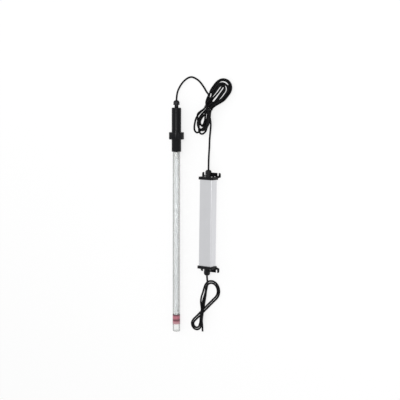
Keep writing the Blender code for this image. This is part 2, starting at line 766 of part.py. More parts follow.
def gland_nut(prefix, frame, low):
    """Dome nut: a turned ogive kept inside a hexagon, with a threaded bore and a cone to its outlet."""
    seat = empty(prefix + "_gland_nut_axis", (0.0, 0.0, low), parent=frame)
    outlet = CORD_R + FIT
    tip = outlet + GLAND_NUT_TIP_WALL
    wide = GLAND_NUT_HEX / math.sqrt(3) - FIT
    bore = GLAND_STEM_R + RUN
    cone_1 = GLAND_NUT - 2 * GLAND_NUT_TIP_WALL
    profile = [(outlet, GLAND_NUT)]
    for i in range(GLAND_NUT_DOME + 1):
        share = i / GLAND_NUT_DOME
        swell = math.sin(share * math.pi / 2) ** GLAND_NUT_SWELL
        height = GLAND_NUT - (GLAND_NUT - GLAND_NUT_SKIRT) * share ** GLAND_NUT_FALL
        profile.append((tip + (wide - tip) * swell, height))
    profile += [(wide, 0.0), (bore, 0.0), (bore, GLAND_NUT_BORE), (outlet, cone_1)]
    nut = turned(prefix + "_gland_nut", profile, seat, "black_plastic", NUT_STEPS)
    flats = plate(prefix + "_nut_flats", [hexagon(GLAND_NUT_HEX)], -GLAND_NUT, 2 * GLAND_NUT, seat)
    combine(nut, flats, "INTERSECT")


# Ballast

def ballast_frame():
    """Frame in the middle of the case, +Z toward the lamp side, +Y down."""
    return empty("ballast", (BALLAST_X, BALLAST_Y, BALLAST_Z), (-math.pi / 2, 0.0, 0.0))


def port_places():
    """Screw ports in the case's corner bosses."""
    inset = CASE_WALL + BOSS / 2
    x, y = CASE_W / 2 - inset, CASE_H / 2 - inset
    return [(x, y), (-x, y), (-x, -y), (x, -y)]


def board_low():
    """Underside of the circuit board, measured down from the case's middle."""
    return CASE_H / 2 - CASE_WALL - BOSS - FIT


def case_outlines(slots):
    """Outer skin, inner hollow with four corner bosses and the board's slot ribs, and the ports."""
    x, y = CASE_W / 2 - CASE_WALL, CASE_H / 2 - CASE_WALL
    bx, by = x - BOSS, y - BOSS
    rib_0 = board_low() - BOARD - FIT
    right = [(bx, y), (bx, by), (x, by)]
    if slots:
        rib_1 = rib_0 - SLOT_RIB
        right += [(x, rib_0), (x - SLOT_RIB_DEPTH, rib_0), (x - SLOT_RIB_DEPTH, rib_1), (x, rib_1)]
    right += [(x, -by), (bx, -by), (bx, -y)]
    left = [(-px, py) for px, py in reversed(right)]
    outlines = [rounded(CASE_W, CASE_H, CASE_ROUND), right + left]
    outlines += [polygon(PORT_R, 10, place) for place in port_places()]
    return outlines


def ballast_case(frame):
    half = CASE_LENGTH / 2
    plate("ballast_case", case_outlines(True), -half, half, frame, "aluminium")


def flange_outline():
    """Plan of a wall flange with two open slots, X across and Y outward from the case's end."""
    front = PLATE_1 + FLANGE_REACH
    wide = FLANGE_W / 2
    back = PLATE_1 + FLANGE_REACH - FLANGE_TAPER - FLANGE_ROUND
    bottom = front - SLOT_DEPTH + SLOT_W / 2
    centre = SLOT_SPAN / 2
    right = [(CAP_W / 2 - CAP_OVERHANG / 2, PLATE_0), (wide, back)]
    right += arc(wide - FLANGE_ROUND, front - FLANGE_ROUND, FLANGE_ROUND, 0, 90, 4)
    right.append((centre + SLOT_W / 2, front))
    right += arc(centre, bottom, SLOT_W / 2, 0, -180, 6)
    right.append((centre - SLOT_W / 2, front))
    return right + [(-x, y) for x, y in reversed(right)]


def end_cap(side, end):
    """Cap over the case's end with its flange, gland hole, screws and gasket."""
    outline = rounded(CAP_W, CAP_H - FLANGE_PROUD, CAP_ROUND, 3, (0.0, -FLANGE_PROUD / 2))
    cap = plate(side + "_cap", [outline], -CAP_RIM, PLATE_1, end, "black_plastic", CAP_EDGE)
    lay = empty(side + "_flange_plane", (0.0, CAP_H / 2, 0.0), (math.pi / 2, 0.0, 0.0), end)
    foot = plate(side + "_foot", [flange_outline()], 0.0, FLANGE, lay)
    combine(cap, foot, "UNION")
    recess = rounded(CASE_W + 2 * FIT, CASE_H + 2 * FIT, CASE_ROUND + FIT)
    combine(cap, plate(side + "_cap_recess", [recess], -CAP_RIM - CAP_PLATE, PLATE_0, end))
    hole = polygon(GLAND_STEM_R + FIT, SMALL_STEPS)
    combine(cap, plate(side + "_cap_hole", [hole], -CAP_PLATE, PLATE_1 + CAP_PLATE, end))
    ports = rods(side + "_cap_ports", 2 * PORT_R, -CAP_PLATE, PLATE_1 + CAP_PLATE, port_places(), end)
    combine(cap, ports)
    plate(side + "_gasket", case_outlines(False), FIT, FIT + GASKET, end, "black_rubber")
    screws(side, end)


def screws(side, end):
    """Four pan head screws in the cap's corners."""
    head_0 = PLATE_1 + FIT
    head_1 = head_0 + SCREW_HEAD
    wide, shank = SCREW_HEAD_D / 2, SCREW_D / 2
    profile = [
        (0.0, head_1), (wide * SCREW_FLAT, head_1), (wide, head_1 - SCREW_HEAD / 2), (wide, head_0),
        (shank, head_0), (shank, head_0 - SCREW_LENGTH), (0.0, head_0 - SCREW_LENGTH),
    ]
    for i, (x, y) in enumerate(port_places()):
        screw = turned(f"{side}_screw_{i + 1}", profile, end, "steel", SCREW_STEPS, ring=False)
        screw.location = (x, y, 0.0)


def electronics(frame):
    """Circuit board in its slots, with the parts that stand on it; mains side toward -Z."""
    half = CASE_LENGTH / 2 - BOARD_SHORT
    low = board_low()
    width = CASE_W - 2 * CASE_WALL - 2 * FIT
    block("circuit_board", (width, BOARD, 2 * half), (0.0, low - BOARD / 2, 0.0), frame, "circuit_green")
    floor = low - BOARD - FIT
    room = floor + CASE_H / 2 - CASE_WALL

    def stand(name, size, x, along, look, edge):
        """A box on the board, by its size, place across and middle along the board."""
        return block(name, size, (x, floor - size[1] / 2, along), frame, look, edge)

    terminal = TERMINAL_IN + TERMINAL_LENGTH
    for side, wide, way in (("mains", MAINS_TERMINAL_W, -1), ("lamp", LAMP_TERMINAL_W, 1)):
        size = (wide, TERMINAL_H, TERMINAL_LENGTH)
        stand(side + "_terminal", size, 0.0, way * (half - terminal + TERMINAL_LENGTH / 2),
              "terminal_grey", TERMINAL_EDGE)

    # From the mains end
    fuse = terminal + FUSE_IN
    stand("fuse", (FUSE_D, FUSE_D, FUSE_LENGTH), FUSE_SIDE + FUSE_D / 2 - width / 2,
          fuse + FUSE_LENGTH / 2 - half, "ceramic", FUSE_EDGE)
    choke_0 = fuse + FUSE_LENGTH + CHOKE_IN
    choke_h = room - CHOKE_LID
    choke_z = choke_0 + CHOKE_LENGTH / 2 - half
    choke = stand("mains_filter_choke", (CHOKE_W, choke_h, CHOKE_LENGTH), 0.0, choke_z, "ferrite", CHOKE_EDGE)
    notch = (CHOKE_NOTCH_W, 2 * CHOKE_NOTCH, CHOKE_LENGTH + 2 * CHOKE_NOTCH)
    combine(choke, block("choke_notch", notch, (0.0, floor - choke_h, choke_z), frame))
    can_r = (room - CAN_LID) / 2
    groove_0, groove_1 = CAN_GROOVE_IN - CAN_GROOVE_HALF, CAN_GROOVE_IN + CAN_GROOVE_HALF
    can = [
        (0.0, CAN_LENGTH), (can_r - CAN_EDGE, CAN_LENGTH), (can_r, CAN_LENGTH - CAN_EDGE), (can_r, groove_1),
        (can_r - CAN_GROOVE, CAN_GROOVE_IN), (can_r, groove_0), (can_r, 0.0), (0.0, 0.0),
    ]
    capacitor = turned("smoothing_capacitor", can, frame, "capacitor_blue", SMALL_STEPS, ring=False)
    can_z = choke_0 + CHOKE_LENGTH + CAN_IN - half
    capacitor.location = (width / 2 - CAN_SIDE - can_r, floor - can_r, can_z)

    # From the lamp end
    film_2 = terminal + FILM_IN
    film_1 = film_2 + FILM_LENGTH + FILM_GAP
    film_x = FILM_SIDE + FILM_W / 2 - width / 2
    for number, along in ((1, film_1), (2, film_2)):
        size = (FILM_W, room - FILM_LID, FILM_LENGTH)
        stand(f"film_capacitor_{number}", size, film_x, half - along - FILM_LENGTH / 2, "film_red", FILM_EDGE)
    inductor = film_1 + FILM_LENGTH + INDUCTOR_IN
    stand("lamp_inductor", (INDUCTOR_W, room - INDUCTOR_LID, INDUCTOR_LENGTH), 0.0,
          half - inductor - INDUCTOR_LENGTH / 2, "ferrite", INDUCTOR_EDGE)
    face = half - inductor - INDUCTOR_LENGTH - SPREADER_IN
    spreader = stand("power_transistors", (SPREADER_W, room - SPREADER_LID, SPREADER), 0.0,
                     face - SPREADER / 2, "aluminium", SPREADER_EDGE)
    size = (TRANSISTOR_W, TRANSISTOR_H, TRANSISTOR_PROUD + TRANSISTOR_SUNK)
    up = floor - TRANSISTOR_UP - TRANSISTOR_H / 2
    for x in (-TRANSISTOR_SPAN / 2, TRANSISTOR_SPAN / 2):
        place = (x, up, face + (TRANSISTOR_PROUD - TRANSISTOR_SUNK) / 2)
        combine(spreader, block("transistor_body", size, place, frame), "UNION")

    # Wires
    terminal_end = half - TERMINAL_IN + FIT
    cord_end = CASE_LENGTH / 2 + cord_foot(PLATE_1, CAP_PLATE) - FIT
    for name, count, way in (("mains_wires", MAINS_WIRES, -1), ("lamp_wires", LAMP_WIRES, 1)):
        clamps = [(CLAMP_PITCH * (i - (count - 1) / 2), floor - TERMINAL_H / 2) for i in range(count)]
        loom(name, clamps, way * terminal_end, way * cord_end, frame)


# Cords

def smooth_step(x):
    x = min(max(x, 0.0), 1.0)
    return x * x * (3 - 2 * x)


def through(points, share):
    """Point on a smooth curve through the points; share counts spans from the first point."""
    last = len(points) - 1
    i = min(int(share), last - 1)
    t = share - i
    p0, p1, p2, p3 = (Vector(points[min(max(k, 0), last)]) for k in (i - 1, i, i + 1, i + 2))
    return 0.5 * (2 * p1 + (p2 - p0) * t + (2 * p0 - 5 * p1 + 4 * p2 - p3) * t ** 2
                  + (3 * p1 - p0 - 3 * p2 + p3) * t ** 3)


def even_run(points, first, last, step):
    """Evenly spaced points on the smooth curve between two of its points, both ends kept."""
    fine = 24
    shares = [first + (last - first) * i / (fine * (last - first)) for i in range(fine * (last - first) + 1)]
    dense = [through(points, share) for share in shares]
    reach = [0.0]
    for a, b in zip(dense, dense[1:]):
        reach.append(reach[-1] + (b - a).length)
    count = max(1, round(reach[-1] / step))
    run = []
    k = 0
    for i in range(count + 1):
        goal = reach[-1] * i / count
        while k < len(dense) - 2 and reach[k + 1] < goal:
            k += 1
        span = reach[k + 1] - reach[k]
        run.append(dense[k].lerp(dense[k + 1], (goal - reach[k]) / span))
    return run


def run_in(inner, end):
    """Two points that lead straight up to the end of a wound tube, one diameter long."""
    return [end + (end - inner).normalized() * CORD_D, end]


def trimmed(run, start, end):
    """The run with its ends drawn back."""
    run = [Vector(p) for p in run]
    run[0] += (run[1] - run[0]).normalized() * start
    run[-1] += (run[-2] - run[-1]).normalized() * end
    return run


def triangle_wave(turn):
    """Spiral place: it winds in over one layer and out again over the next."""
    layer = HANK_LOOPS / HANK_LAYERS
    inside = turn % (2 * layer)
    return inside if inside <= layer else 2 * layer - inside


def hank_place(a, b, z):
    """A hank's point in the part's frame: a along the hank, b across it."""
    along = Vector((math.sin(HANK_TURN), math.cos(HANK_TURN), 0.0))
    across = Vector((math.cos(HANK_TURN), -math.sin(HANK_TURN), 0.0))
    bend = HANK_BEND * (math.hypot(a, HANK_WAIST_BEND) - HANK_WAIST_BEND)
    corner = Vector((LAMP_X + HANK_WAIST[0], HEAD_TIP_Y + HANK_WAIST[1], 0.0))
    return corner + along * a + across * (b + bend) + Vector((0.0, 0.0, z))


def hank_local(turn):
    """Place along, across and above the table for a number of turns from an upper fold."""
    phase = 2 * math.pi * turn + HANK_WARP * math.sin(4 * math.pi * turn)
    length, wide, middle, belly = HANK_FOLDS[min(round(2 * turn), len(HANK_FOLDS) - 1)]
    share = abs(math.cos(phase))
    lobe, lean_0 = HANK_LOBE_DOWN, HANK_LEAN_DOWN
    if math.cos(phase) > 0:
        lobe, lean_0 = HANK_LOBE_UP, HANK_LEAN_UP
    a = length * math.cos(phase)
    rho = triangle_wave(turn) if turn < HANK_LOOPS else HANK_LOOPS - turn
    waist = HANK_WAIST_HALF - HANK_WAIST_STEP * rho
    half = waist + (wide - waist) * smooth_step(lobe * share) + belly * math.sin(math.pi * share) ** 2
    into_fold = min(max((abs(a) - length + wide) / wide, 0.0), 1.0)
    fold = math.sqrt(1.0 - into_fold ** 2)
    b = middle * smooth_step((share - lean_0) / HANK_LEAN) - math.copysign(fold, math.sin(phase)) * half
    per_layer = HANK_LOOPS / HANK_LAYERS
    level = 0.0
    for layer in range(1, HANK_LAYERS):
        level += smooth_step((turn - layer * per_layer) / HANK_CLIMB)
    lift = HANK_LIFT * math.exp(-(a / HANK_LIFT_REACH) ** 2)
    return a, b, CORD_R + REST + lift + HANK_PITCH * level


def lamp_cord(axis_foot, axis_tip, gland_tip, gland_foot):
    """Arch from the head, tied hank and drop to the ballast, as three stretches of one cord."""
    corner = Vector((LAMP_X, HEAD_TIP_Y, 0.0))
    hank = [hank_place(*hank_local(i / LOOP_POINTS)) for i in range(HANK_START, HANK_END + 1)]
    hank[0] = hank_place(*HANK_ENTRY)
    tubes("lamp_cord_hank", [hank], CORD_D, None, "black_rubber", resolution=1)
    arch = [axis_foot, axis_tip] + [corner + Vector(p) for p in ARCH_POINTS] + run_in(hank[1], hank[0])
    run = even_run(arch, 1, len(arch) - 2, CORD_STEP * CORD_D)
    arch = trimmed([axis_foot] + run + hank[:1], 0.0, FIT)
    tubes("lamp_cord_arch", [arch], CORD_D, None, "black_rubber")
    over = [hank_place(*p) for p in HANK_OVER_POINTS]
    lead = run_in(hank[-2], hank[-1])[::-1]
    drop = lead + over + [corner + Vector(p) for p in DROP_POINTS] + [gland_tip, gland_foot]
    run = even_run(drop, 1, len(drop) - 2, CORD_STEP * CORD_D)
    drop = trimmed(hank[-1:] + run + [gland_foot], FIT, 0.0)
    tubes("lamp_cord_drop", [drop], CORD_D, None, "black_rubber")
    hank_tie()
    return hank, drop


def belt(points, radius):
    """Outline of a band pulled round circles of one radius at points given anticlockwise."""
    outline = []
    for i, point in enumerate(points):
        before = Vector(point) - Vector(points[i - 1])
        after = Vector(points[(i + 1) % len(points)]) - Vector(point)
        start = math.atan2(before.y, before.x) - math.pi / 2
        sweep = (math.atan2(after.y, after.x) - math.atan2(before.y, before.x)) % (2 * math.pi)
        for step in range(BELT_STEPS + 1):
            angle = start + sweep * step / BELT_STEPS
            outline.append((point[0] + radius * math.cos(angle), point[1] + radius * math.sin(angle)))
    return outline


def hank_tie():
    """Flat band pulled round the outermost passes of the hank's waist."""
    passes = [hank_local(turn)[1:] for turn in TIE_TURNS]
    inner = belt(passes, CORD_R + TIE_SLACK)
    outer = belt(passes, CORD_R + TIE_SLACK + TIE)
    tie = plate("hank_tie", [outer, inner], -TIE_WIDTH / 2, TIE_WIDTH / 2, None, "tie_black")
    place = hank_place(0.0, 0.0, 0.0)
    across = Vector((math.cos(HANK_TURN), -math.sin(HANK_TURN), 0.0))
    up = Vector((0.0, 0.0, 1.0))
    turn = Matrix((across, up, across.cross(up))).transposed().to_4x4()
    tie.matrix_world = Matrix.Translation(place) @ turn


def bow(centre, radii, start, end, count):
    """Points along a loop's arc, angles in degrees."""
    points = []
    for i in range(count + 1):
        angle = math.radians(start + (end - start) * i / count)
        points.append((centre[0] + radii[0] * math.cos(angle), centre[1] + radii[1] * math.sin(angle)))
    return points


def eight_ring():
    """One closed turn of the figure of eight, from the top loop's left side down the bundle."""
    ring = list(BUNDLE_POINTS)
    ring += bow(BOTTOM_CENTRE, BOTTOM_RADII, *BOTTOM_BOW, BOW_STEPS)
    ring += list(DIAGONAL_POINTS)
    ring += bow(TOP_CENTRE, TOP_RADII, *TOP_BOW, BOW_STEPS)
    return ring[-1:] + ring[:-1]


def eight_point(turn, ring):
    """Point of a turn: each is stepped to the right of the last, and its bundle rises over the diagonals."""
    count = len(ring)
    closed = [(*ring[k % count], 0.0) for k in range(-2, count + 3)]
    place = turn % 1.0 * count
    here = through(closed, place + 2)
    ahead = through(closed, place + 2.05) - through(closed, place + 1.95)
    right = Vector((ahead.y, -ahead.x, 0.0)).normalized()
    rise = 0.0
    if place <= len(BUNDLE_POINTS) + 1:
        rise = 1.0 - smooth_step((EIGHT_DOWN - here.y) / EIGHT_RAMP)
        if turn >= 1.0:
            rise *= smooth_step((EIGHT_UP - here.y) / EIGHT_RAMP)
    here += right * EIGHT_STEP * turn
    here.z = CORD_R + REST + EIGHT_RISE * rise
    return here


def mains_cord(gland_foot, gland_tip):
    """Lead from the ballast, then the figure of eight with its bare end."""
    corner = Vector((gland_tip.x, gland_tip.y, 0.0))
    ring = eight_ring()
    count = EIGHT_TURNS * EIGHT_LOOP_POINTS
    eight = [corner + eight_point(i / EIGHT_LOOP_POINTS, ring) for i in range(count)]
    tail = eight[-2:] + [corner + Vector(p) for p in TAIL_POINTS]
    eight += even_run(tail, 1, len(tail) - 1, CORD_STEP * CORD_D)[1:]
    tubes("mains_cord_hank", [eight], CORD_D, None, "black_rubber", resolution=1)
    lead = [gland_foot, gland_tip] + [corner + Vector(p) for p in LEAD_POINTS] + run_in(eight[1], eight[0])
    run = even_run(lead, 1, len(lead) - 2, CORD_STEP * CORD_D / 2)
    lead = trimmed([gland_foot] + run + eight[:1], 0.0, FIT)
    tubes("mains_cord_lead", [lead], CORD_D, None, "black_rubber")
    return eight


def least_gap(run):
    """Least clear distance of a tube from itself, away from its own next points."""
    fine = []
    for a, b in zip(run, run[1:]):
        fine += [a.lerp(b, i / 4) for i in range(4)]
    reach = [0.0]
    for a, b in zip(fine, fine[1:]):
        reach.append(reach[-1] + (b - a).length)
    least = 1.0
    for i, p in enumerate(fine):
        for j in range(i + 1, len(fine)):
            if reach[j] - reach[i] > 4 * CORD_D:
                least = min(least, (fine[j] - p).length - CORD_D)
    return least


def main():
    new_scene()
    axis = lamp_frame()
    quartz_sleeve(axis)
    pins = uv_lamp(axis)
    socket_and_seal(axis)
    union_nut(axis)
    head(axis, pins)
    head_wall = empty("head_gland_axis", (0.0, 0.0, HEAD_1), parent=axis)
    gland("head", head_wall, HEAD_TOP, GLAND_NECK, False)
    frame = ballast_frame()
    ballast_case(frame)
    electronics(frame)
    cord_ends = []
    for side, way in (("lamp_side", 0.0), ("mains_side", math.pi)):
        place = (0.0, 0.0, CASE_LENGTH / 2 * math.cos(way))
        end = empty(side + "_end", place, (0.0, way, 0.0), frame)
        end_cap(side, end)
        wall = empty(side + "_gland_axis", (0.0, 0.0, PLATE_1), parent=end)
        gland(side, wall, CAP_PLATE, GLAND_HEX_HEIGHT, True)
        bpy.context.view_layer.update()
        foot = end.matrix_world @ Vector((0.0, 0.0, cord_foot(PLATE_1, CAP_PLATE)))
        tip = end.matrix_world @ Vector((0.0, 0.0, CAP_TIP))
        cord_ends.append((foot, tip))
    foot = axis.matrix_world @ Vector((0.0, 0.0, cord_foot(HEAD_1, HEAD_TOP)))
    tip = axis.matrix_world @ Vector((0.0, 0.0, LAMP_END))
    lamp_foot, lamp_tip = cord_ends[0]
    hank, drop = lamp_cord(foot, tip, lamp_tip, lamp_foot)
    eight = mains_cord(*cord_ends[1])
    print("least gap of the hank to itself, mm:", round(1000 * least_gap(hank), 2))
    print("least gap of hank and drop, mm:", round(1000 * least_gap(hank + drop[1:]), 2))
    print("least gap of the figure of eight to itself, mm:", round(1000 * least_gap(eight), 2))


main()
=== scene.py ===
"""Looks of an immersion ultraviolet lamp and its ballast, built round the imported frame.

The file is laid out as a Blender add-on: sizes and colours are properties of the scene, each group of pieces
has an operator, and a panel in the sidebar lists them. Metres, +Z up. The lamp lies along Y with its head
toward +Y.
"""

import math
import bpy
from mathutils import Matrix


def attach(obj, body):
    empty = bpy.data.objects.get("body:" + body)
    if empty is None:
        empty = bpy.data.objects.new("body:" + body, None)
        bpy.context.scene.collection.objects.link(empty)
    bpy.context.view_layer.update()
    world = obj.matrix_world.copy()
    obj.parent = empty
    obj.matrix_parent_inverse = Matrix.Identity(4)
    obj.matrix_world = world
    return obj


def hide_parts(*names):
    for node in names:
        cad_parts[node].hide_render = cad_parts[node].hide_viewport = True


bl_info = {
    "name": "Immersion lamp looks",
    "version": (1, 0, 0),
    "blender": (4, 5, 0),
    "location": "View3D > Sidebar > Lamp",
    "description": "Builds the visible pieces of an immersion lamp, its ballast and its cords",
    "category": "Object",
}

import bmesh
import bpy
from bpy.props import FloatProperty, FloatVectorProperty, IntProperty, PointerProperty
from mathutils import Matrix, Vector

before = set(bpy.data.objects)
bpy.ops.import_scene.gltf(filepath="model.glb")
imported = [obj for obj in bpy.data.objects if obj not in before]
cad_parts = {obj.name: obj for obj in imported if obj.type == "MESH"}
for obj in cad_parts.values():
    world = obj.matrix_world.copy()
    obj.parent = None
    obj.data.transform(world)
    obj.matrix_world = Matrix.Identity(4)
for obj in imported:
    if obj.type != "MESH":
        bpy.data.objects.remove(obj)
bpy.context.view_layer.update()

FIT = 0.0003                 # between pieces that touch
RUN = 0.0004                 # round a thread that turns
REST = 0.00005               # keeps facets off the table
TINY = 0.000001
WELD = 0.000002
ROOT = "lamp_and_ballast"
SMOOTH_ANGLE = math.radians(38)
FLAT_ANGLE = math.radians(165)
UP = Vector((0.0, 0.0, 1.0))
TURN_STEPS = 96
LAMP_STEPS = 64
ROD_STEPS = 32

# Sleeve, band and lamp
SLEEVE_SPLIT = -0.1          # station that shortens the long faces
BAND_OFF = 0.00005
BAND_FILM = 0.00012
BAND_EDGE = 0.00004
LAMP_CUP = 0.010
CERAMIC_EDGE = 0.0007
PIN_CIRCLE_R = 0.005
PIN_D = 0.0024
PIN_LENGTH = 0.010
PIN_SUNK = 0.004
COIL_ACROSS = 0.0035
COIL_R = 0.0006
COIL_TURNS = 9
COIL_POINTS = 14             # in each turn
COIL_WIRE_R = 0.00022

# Socket, union nut and head, heights from the collar's underside
SOCKET_EDGE = 0.0009
NUT_EDGE = 0.0012
RIB_STEPS = 24
RIB_FLAT = 0.22              # half of a rib's top, as a share of the pitch
RIB_FLANK = 0.14
SEAL_ROOM = 0.0043
SEAT_HEIGHT = 0.0078
LEDGE_HEIGHT = 0.0098
COLLAR_HEIGHT = 0.0128
SEAT_LAP = 0.0012
HEAD_TOP = 0.005
HEAD_ROUND = 0.003
HEAD_STRAIGHT = 0.004        # where the straight wall starts, below the top
HEAD_EDGE = 0.0005

# Cable glands
GLAND_THREAD = 0.0065
GLAND_POCKET_R = 0.0049
GLAND_POCKET = 0.0075
GLAND_BORE_R = 0.0037
GLAND_STEM_LOW = -0.0105
GLAND_EDGE = 0.0006
DOME_STEPS = 16
DOME_SWELL = 0.8             # how soon the dome widens from its tip
DOME_FALL = 1.35             # how soon it comes down
DOME_SKIRT_EDGE = 0.0005
DOME_BORE = 0.0082

# Case, caps and screws
BOSS = 0.0065
PORT_R = 0.00165
PORT_STEPS = 16
CASE_EDGE = 0.00025
CAP_EDGE = 0.0012
CAP_EDGE_STEPS = 5
CAP_HOLE_D = 0.0126
CAP_CUT = (-0.010, 0.020)    # reach of the cutters through a cap
FOOT_EDGE = 0.0006
FLANGE_PROUD = 0.0004        # flange's back below the cap
FLANGE_CORNER = 0.0045
FLANGE_TAPER = 0.010
SCREW_CROWN = (              # shares of the head's radius and height
    (0.0, 1.0), (0.4, 0.97), (0.7, 0.86), (0.9, 0.66), (1.0, 0.40), (1.0, 0.06), (0.97, 0.0))
RECESS_LENGTH = 0.0032
RECESS_WIDTH = 0.0007
RECESS_RINGS = ((0.8, 0.45), (1.05, 1.2))    # shares of the recess's size and the head's height

# Stage
KEY_REACH = 2.6
KEY_ASIDE = Vector((-0.55, 0.5, 0.2))
KEY_SIZE = 0.9
FILL_PLACE = Vector((-2.2, 1.2, 0.8))
FILL_SHARE = 0.35            # of the key's power
FILL_SIZE = 1.2
FLOOR_HALF = 5.0
FLOOR_WHITE = 0.75           # share of plain white on the floor that the camera sees
SENSOR = 36.0
WHITE = (1.0, 1.0, 1.0, 1.0)

# Cord routes: points are offsets from a gland's tip on the table, heights from the table
ARCH_POINTS = (
    (0.0003, 0.0245, 0.0238),
    (0.0038, 0.0437, 0.0160),
    (0.0122, 0.0608, 0.0083),
    (0.0258, 0.0730, 0.0038),
    (0.0425, 0.0778, 0.0031),
    (0.0593, 0.0734, 0.0031),
    (0.0766, 0.0630, 0.0031),
    (0.0935, 0.0451, 0.0031),
    (0.1046, 0.0302, 0.0031),
    (0.1138, 0.0192, 0.0031),
)
DROP_POINTS = (
    (0.1350, -0.0400, 0.0322),
    (0.1375, -0.0570, 0.0270),
    (0.1335, -0.0755, 0.0172),
    (0.1266, -0.0940, 0.0083),
    (0.1217, -0.1120, 0.0038),
    (0.1199, -0.1300, 0.0031),
    (0.1203, -0.1500, 0.0043),
    (0.1226, -0.1720, 0.0092),
    (0.1264, -0.1950, 0.0160),
)
LEAD_POINTS = (
    (-0.0006, -0.0110, 0.0170),
    (-0.0024, -0.0230, 0.0122),
    (-0.0045, -0.0370, 0.0103),
)
BUNDLE_POINTS = (
    (-0.0094, -0.0670),
    (-0.0124, -0.0860),
    (-0.0156, -0.1060),
    (-0.0188, -0.1270),
    (-0.0222, -0.1480),
)
DIAGONAL_POINTS = (
    (-0.0590, -0.1477),
    (-0.0485, -0.1372),
    (-0.0335, -0.1222),
    (-0.0165, -0.1052),
    (0.0000, -0.0887),
    (0.0120, -0.0767),
)
TAIL_POINTS = (
    (-0.0245, -0.0600, 0.0055),
    (-0.0258, -0.0755, 0.0125),
    (-0.0248, -0.0920, 0.0172),
    (-0.0215, -0.1120, 0.0176),
    (-0.0200, -0.1310, 0.0175),
    (-0.0202, -0.1500, 0.0168),
    (-0.0210, -0.1715, 0.0118),
    (-0.0217, -0.1930, 0.0090),
)
CORD_INSIDE = 0.014          # cord inside a gland

# Hank of the lamp's cord
HANK_LOOPS = 6
HANK_LAYERS = 4
HANK_START = 7
HANK_END = 196
LOOP_POINTS = 32
HANK_WAIST = (0.1225, -0.0220)
HANK_TURN = math.radians(33.5)
HANK_BEND = 0.13
HANK_WAIST_HALF = 0.0117
HANK_WAIST_STEP = 0.0080
HANK_FOLDS = (               # reach from the waist, half width, middle across and belly of each fold in turn
    (0.1140, 0.0305, 0.0000, 0.0000),
    (0.0840, 0.0200, -0.0030, 0.0020),
    (0.1065, 0.0268, -0.0046, 0.0000),
    (0.0700, 0.0120, -0.0030, 0.0000),
    (0.0995, 0.0128, 0.0078, 0.0000),
    (0.0800, 0.0174, 0.0000, 0.0020),
    (0.1140, 0.0305, 0.0000, 0.0000),
    (0.0950, 0.0115, -0.0060, 0.0130),
    (0.0960, 0.0120, -0.0034, 0.0000),
    (0.0640, 0.0120, 0.0000, 0.0000),
    (0.0950, 0.0128, 0.0052, 0.0000),
    (0.0850, 0.0115, 0.0170, 0.0130),
    (0.1040, 0.0216, 0.0060, 0.0000),
)
HANK_LOBE_UP = 1.8           # how soon an upper lobe is at its full width
HANK_LOBE_DOWN = 1.4
HANK_PITCH = 0.0068
HANK_LIFT = 0.0016
HANK_LIFT_REACH = 0.020
HANK_LEAN_UP = 0.15          # share of the reach where an upper fold starts to lean to its middle
HANK_LEAN_DOWN = 0.40
HANK_LEAN = 0.45
HANK_CLIMB = 0.2
HANK_WARP = 0.12
HANK_WAIST_BEND = 0.025
TIE_SLACK = 0.0008
TIE_TURNS = (0.25, 0.75, 2.75, 5.75, 5.25, 3.25)
BELT_STEPS = 8
STRAP_EDGE = 0.0003
HANK_ENTRY = (0.0155, -0.0175, 0.0040)
HANK_OVER_POINTS = (
    (0.0560, -0.0190, 0.0262),
    (0.0400, -0.0170, 0.0298),
    (0.0270, -0.0125, 0.0330),
    (0.0130, -0.0050, 0.0340),
)

# Figure of eight of the mains cord
EIGHT_TURNS = 2
EIGHT_STEP = 0.0072
EIGHT_RISE = 0.0073
EIGHT_UP = -0.0560
EIGHT_DOWN = -0.1400
EIGHT_RAMP = 0.0360
EIGHT_LOOP_POINTS = 40
TOP_CENTRE = (0.0095, -0.0530)
TOP_RADII = (0.0175, 0.0195)
BOTTOM_CENTRE = (-0.0520, -0.1720)
BOTTOM_RADII = (0.0220, 0.0220)
TOP_BOW = (-45, 180)         # degrees of each loop's arc
BOTTOM_BOW = (-15, -225)
BOW_STEPS = 6


# Sizes and colours

def length(label, default, about):
    return FloatProperty(name=label, description=about, default=default, unit="LENGTH", precision=5)


def colour(label, default, about):
    return FloatVectorProperty(
        name=label, description=about, default=default, size=3, subtype="COLOR", min=0.0, max=1.0)


class LAMP_PG_sleeve(bpy.types.PropertyGroup):
    """Quartz sleeve and the ultraviolet lamp in it, stations along the lamp's axis."""

    axis: FloatVectorProperty(
        name="Axis", description="Point on the lamp's axis at the union nut's lower face",
        default=(-0.07023, 0.2613018, 0.02503), subtype="TRANSLATION", precision=5)
    lie: FloatProperty(
        name="Lie", description="Tilt of the lamp as it rests on its nut and its tip",
        default=0.0192048, subtype="ANGLE")
    diameter: length("Diameter", 0.025, "Outside of the quartz sleeve")
    wall: length("Wall", 0.0015, "Thickness of the quartz")
    low: length("Closed end", -0.653, "Station of the sleeve's closed end")
    high: length("Open end", 0.0184, "Station of the sleeve's open end")
    tip_round: length("Tip round", 0.003, "Rounding of the closed end")
    band_low: length("Band low", -0.628, "Lower edge of the red band")
    band_high: length("Band high", -0.595, "Upper edge of the red band")
    lamp_diameter: length("Lamp diameter", 0.016, "Outside of the lamp's glass")
    lamp_wall: length("Lamp wall", 0.0008, "Thickness of the lamp's glass")
    glass_low: length("Glass low", -0.6092, "Lower end of the lamp's glass")
    glass_high: length("Glass high", -0.0513, "Upper end of the lamp's glass")
    base_diameter: length("Base diameter", 0.019, "Ceramic base and end cap")
    base_low: length("Base low", -0.061, "Lower edge of the ceramic base")
    base_high: length("Base high", 0.0207, "Upper end of the ceramic base")
    cap_low: length("Cap low", -0.6155, "Lower end of the end cap")
    cap_high: length("Cap high", -0.5975, "Upper edge of the end cap")
    filament_depth: length("Filament depth", 0.020, "How far a filament stands into the glass")


